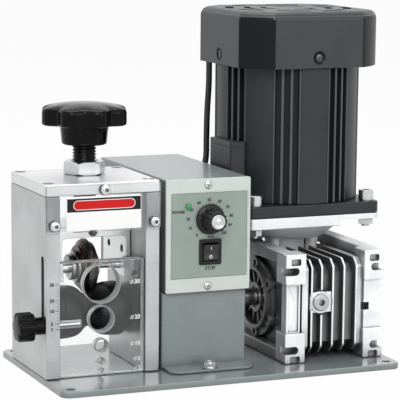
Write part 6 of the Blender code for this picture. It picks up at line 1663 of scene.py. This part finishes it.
@dataclass
class Motor:
    """Grooved motor body, fan cover with vents and screws, and the terminal box."""

    axis: Pair = (97.9, 45.9)
    radius: float = 60.9
    low: float = 130.1
    high: float = 242.8
    bore: float = 37.0
    groove: float = 2.3
    cover_half: float = 62.9
    cover_reach: float = 75.0
    cover_low: float = 243.2
    cover_high: float = 289.4
    shoulder: float = 7.0

    def build(self) -> None:
        """Makes body, cover and terminal box."""
        self.body()
        self.fan_cover()
        self.terminal_box()

    def body(self) -> None:
        """Extruded body whose rim has eight groups of grooves."""
        steps = 1080
        levels = ((0.5, self.low), (0.0, self.low + 0.5), (0.0, self.high - 0.5), (0.5, self.high))
        rings = []
        for back, z in levels:
            outline = lobed(lambda a, b=back: self.rim(math.degrees(a)) - b, steps, self.axis)
            rings.append([(u, v, z) for u, v in outline])
        for z in (self.high, self.low):
            rings.append([(u, v, z) for u, v in circle(self.bore, steps, self.axis)])
        made = piece("motor_extrusion", Solid().skin(rings, loop=True), Finishes.MOTOR, "frame", "motor_paint",
                     "motor_body", angle=35.0)
        # Painted shade inside each groove.
        repaint(made, Finishes.MOTOR_GROOVE_SHADE, lambda centre, normal: self.away(centre) < self.groove - 0.05)
        # Painted highlight on the thin edges beside each groove.
        repaint(made, Finishes.MOTOR_GROOVE_HIGHLIGHT, lambda centre, normal: self.groove + 0.1 < self.away(centre) < 3.6)

    def around(self, degrees: float) -> float:
        """Angle from the middle of the nearest group of grooves."""
        return (degrees - 20.5 + 22.5) % 45.0 - 22.5

    def away(self, place: Vector) -> float:
        """Angle from the middle of the nearest groove, or a wide one for a place at an end."""
        if not self.low + 0.6 < place.z < self.high - 0.6:
            return 45.0
        around = self.around(math.degrees(math.atan2(place.y - self.axis[1], place.x - self.axis[0])))
        return min(abs(around - shift) for shift in (-7.0, 0.0, 7.0))

    def rim(self, degrees: float) -> float:
        """Radius of the body at an angle, less in a groove and full on its thin edges."""
        around = self.around(degrees)
        away = min(abs(around - shift) for shift in (-7.0, 0.0, 7.0))
        if away < self.groove:
            return self.radius - 3.3
        if away < self.groove + 0.2:
            return self.radius - 3.3 * (self.groove + 0.2 - away) / 0.2
        return self.radius if abs(around) < 10.6 else self.radius - 0.4

    def fan_cover(self) -> None:
        """Moulded cover, a square whose corners follow a wider circle."""
        rings = []
        for back, z in ((0.0, self.cover_low), *self.shoulder_line(self.shoulder, self.cover_high)):
            rings.append(self.cover_ring(back, z))
        for back in (20.0, 40.0):
            rings.append(self.cover_ring(back, self.cover_high))
        cover = Solid().skin(rings)
        inside = Solid().skin([self.cover_ring(2.0, self.cover_low - OVER), self.cover_ring(2.0, self.cover_high - 7.0),
                               self.cover_ring(6.0, self.cover_high - 2.0)])
        cover.cut(inside, *self.vents())
        (x, y), z = self.axis, self.cover_low + 8.6
        places = {"front": (Axis.Y, (x, z), y - self.cover_half), "left": (Axis.X, (y, z), x - self.cover_half)}
        for axis, at, face in places.values():
            dimple = ((5.6, face - OVER), (5.6, face), (4.4, face + 0.9), (3.4, face + 1.2), (0.4, face + 1.2))
            cover.cut(Solid().lathe(dimple, at, axis, 48))
        made = piece("fan_cover_moulded", cover, Finishes.COVER_DARK, "frame", "motor_paint", "fan_cover", angle=20.0)
        # Painted shade on the cover's round corners.
        repaint(made, Finishes.COVER_CORNER_SHADE, self.on_corner)
        # Painted highlight on the shoulder faces that tilt upward.
        repaint(made, Finishes.COVER_SHOULDER_HIGHLIGHT, lambda centre, normal: 0.3 < normal.z < 0.62 and centre.z > z)
        # Painted shade in the rings round the screw dimples.
        for axis, at, face in places.values():
            middle = Vector(axis.point(at[0], at[1], face))
            repaint(made, Finishes.COVER_CORNER_SHADE, lambda centre, normal: 2.0 < (centre - middle).length < 5.4)
        for name, (axis, at, face) in places.items():
            head = Solid().lathe(((1.4, face + 4.0), (1.4, face + 1.1), (3.0, face + 1.1), (2.8, face + 0.4),
                                  (1.6, face + 0.1), (0.3, face + 0.05)), at, axis, 40)
            for turn in (15.0, 105.0):
                slot = Solid().prism([(at[0] - 1.9, at[1] - 0.35), (at[0] + 1.9, at[1] - 0.35),
                                      (at[0] + 1.9, at[1] + 0.35), (at[0] - 1.9, at[1] + 0.35)],
                                     face - OVER, face + 0.7, axis)
                middle = axis.point(at[0], at[1], face)
                head.cut(slot.turned(turn, middle, axis))
            piece(f"fan_cover_screw_{name}", head, Finishes.BLACK_SCREW, "frame", "dark_steel")

    def on_corner(self, centre: Vector, normal: Vector) -> bool:
        """Whether a face of the cover lies on one of its round corners."""
        away = Vector((centre.x - self.axis[0], centre.y - self.axis[1]))
        return abs(normal.z) < 0.5 and away.length > self.cover_reach - self.shoulder and min(
            abs(away.x), abs(away.y)) > self.cover_half * 0.63

    def shoulder_line(self, radius: float, top: float) -> list[Pair]:
        """How far the shoulder is drawn in, and its height, from wall to top."""
        angles = [math.pi / 2 * k / 8 for k in range(9)]
        return [(radius * (1 - math.cos(a)), top - radius * (1 - math.sin(a))) for a in angles]

    def cover_ring(self, back: float, z: float) -> list[Triple]:
        """Outline of the cover at a height, drawn in by a distance."""
        half, reach = self.cover_half - back, self.cover_reach - back

        def far(angle: float) -> float:
            return min(reach, half / max(abs(math.cos(angle)), abs(math.sin(angle))))

        return [(u, v, z) for u, v in lobed(far, 480, self.axis)]

    def vents(self) -> list[Solid]:
        """Curved openings of the top in three rings."""
        made = []
        for radius, half, count, share, turn in ((21.0, 2.6, 3, 0.62, 20.0), (35.0, 2.9, 4, 0.72, 50.0),
                                                 (50.0, 3.6, 8, 0.72, 10.0)):
            span = 360.0 / count * share
            for k in range(count):
                start = turn + 360.0 / count * k
                angles = [math.radians(start + span * i / 12) for i in range(13)]
                out = [(self.axis[0] + (radius + half) * math.cos(a), self.axis[1] + (radius + half) * math.sin(a))
                       for a in angles]
                back = [(self.axis[0] + (radius - half) * math.cos(a), self.axis[1] + (radius - half) * math.sin(a))
                        for a in reversed(angles)]
                made.append(Solid().prism(out + back, self.cover_high - 6.0, self.cover_high + OVER))
        return made

    def terminal_box(self) -> None:
        """Small box on the left side of the body."""
        box = Solid().block((32.0, 13.0, 133.0), (45.9, 57.0, 181.0), 0.8, 1.6)
        groove = Solid().block((31.0, 12.0, 176.4), (47.0, 58.0, 176.9))
        keep = Solid().block((32.5, 13.5, 175.0), (47.0, 56.5, 178.0))
        groove.cut(keep)
        piece("terminal_cover", box.cut(groove), Finishes.MOTOR, "frame", "motor_paint", "terminal_box")


@dataclass
class Kept:
    """CAD nodes whose own shape is shown."""

    def build(self) -> None:
        """Dresses every node that no piece stands for."""
        table = {
            "speed_potentiometer": (Finishes.ZINC, 0.2), "speed_board": (Finishes.BOARD, 0.1),
            "worm_wheel": (Finishes.BRONZE, 0.2), "worm": (Finishes.STEEL, 0.2),
            "motor_rotor": (Finishes.STEEL, 0.4), "cooling_fan": (Finishes.PLASTIC, 0.3),
        }
        for node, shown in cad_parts.items():
            if not shown.hide_render:
                dress(node, *table[node])


@dataclass
class Studio:
    """Pale floor, soft lamps, pale surroundings and the camera.

    Attributes:
        place: where the camera stands, in millimetres.
        azimuth: degrees from +Y towards -X that it looks.
        elevation: degrees that it looks down.
        roll: degrees that it is tipped.
        focal: focal length in pixels of a picture 400 wide.
        shift: upward lens shift as a share of the picture.
    """

    place: Triple = (-643.4, -1535.5, 386.0)
    azimuth: float = -22.736
    elevation: float = 10.206
    roll: float = 0.508
    focal: float = 2050.2
    shift: float = 0.150

    def build(self) -> None:
        """Makes camera, floor, world and lamps."""
        self.camera()
        self.floor()
        self.world()
        middle = Vector((0.0, 0.0, 0.13))
        self.lamp("key_softbox", (-0.9, -2.1, 1.8), middle, 1.5, 48.0)
        self.lamp("fill_softbox", (1.0, -2.4, 0.9), middle, 1.5, 12.0)
        self.lamp("top_softbox", (0.1, 0.5, 2.4), middle, 1.6, 31.0)

    def camera(self) -> None:
        """Camera at the photograph's angle."""
        azimuth, elevation, roll = (math.radians(a) for a in (self.azimuth, self.elevation, self.roll))
        forward = Vector((-math.sin(azimuth) * math.cos(elevation), math.cos(azimuth) * math.cos(elevation),
                          -math.sin(elevation)))
        level = Vector((math.cos(azimuth), math.sin(azimuth), 0.0))
        upward = level.cross(forward)
        across = level * math.cos(roll) + upward * math.sin(roll)
        upright = upward * math.cos(roll) - level * math.sin(roll)
        data = bpy.data.cameras.new("camera")
        data.sensor_width = 36.0
        data.lens = self.focal / 400 * data.sensor_width
        data.shift_y = self.shift
        data.clip_end = 100.0
        made = bpy.data.objects.new("camera", data)
        frame_of_view = Matrix((across, upright, -forward)).transposed().to_4x4()
        made.matrix_world = Matrix.Translation(Vector(self.place) * TO_METRES) @ frame_of_view
        bpy.context.scene.collection.objects.link(made)
        bpy.context.scene.camera = made

    def floor(self) -> None:
        """White floor that shows as the white background and keeps a soft shadow."""
        solid = Solid().block((-40000.0, -40000.0, -20.0), (40000.0, 40000.0, -0.5))
        made = solid.object("studio_floor")
        made.data.transform(Matrix.Scale(TO_METRES, 4))
        paint = bpy.data.materials.new("studio_white")
        tree = Tree(paint)
        shader = tree.nodes["Principled BSDF"]
        tree.feed(shader, {"Base Color": (0.80, 0.80, 0.80, 1.0), "Roughness": 0.9, "Specular IOR Level": 0.0})
        seen = self.seen(tree)
        white = tree.add("ShaderNodeEmission", None, {"Color": (1.0, 1.0, 1.0, 1.0), "Strength": 1.0})
        both = tree.add("ShaderNodeMixShader", None, {0: seen * 0.96, 1: Wire(tree, shader.outputs[0]), 2: white})
        tree.feed(tree.nodes["Material Output"], {"Surface": both})
        made.data.materials.append(paint)

    def seen(self, tree: Tree) -> Wire:
        """1 for rays from the camera, from a mirror or through glass."""
        camera = tree.add("ShaderNodeLightPath", out="Is Camera Ray")
        mirror = tree.add("ShaderNodeLightPath", out="Is Glossy Ray")
        glass = tree.add("ShaderNodeLightPath", out="Is Transmission Ray")
        return camera | mirror | glass

    def world(self) -> None:
        """Grey light all round, which the camera, metal and glass see as white."""
        around = bpy.data.worlds.new("studio_air")
        bpy.context.scene.world = around
        tree = Tree(around)
        strength = 0.20 + self.seen(tree) * 0.85
        tree.feed(tree.nodes["Background"], {"Color": (1.0, 1.0, 1.0, 1.0), "Strength": strength})

    def lamp(self, name: str, place: Triple, aim: Vector, size: float, power: float) -> None:
        """Square soft lamp that looks at a point."""
        data = bpy.data.lights.new(name, "AREA")
        data.energy = power
        data.shape = "SQUARE"
        data.size = size
        made = bpy.data.objects.new(name, data)
        made.location = place
        made.rotation_euler = (aim - Vector(place)).to_track_quat("-Z", "Y").to_euler()
        bpy.context.scene.collection.objects.link(made)


def main() -> None:
    """Builds the studio and every assembly."""
    logging.basicConfig(level=logging.INFO, format="%(name)s: %(message)s")
    settings = bpy.context.scene.view_settings
    settings.view_transform = "Standard"
    assemblies = (Studio(), BasePlate(), Head(), Guard(), HeightScrew(), Carrier(), BladeGroup(), GuidePlate(),
                  FeedRoller(),
                  DriveCover(), ControlBox(), Panel(), Gearbox(), MotorMount(),
                  Motor(), MotorCable(), Kept())
    for assembly in assemblies:
        assembly.build()


if __name__ == "__main__":
    main()
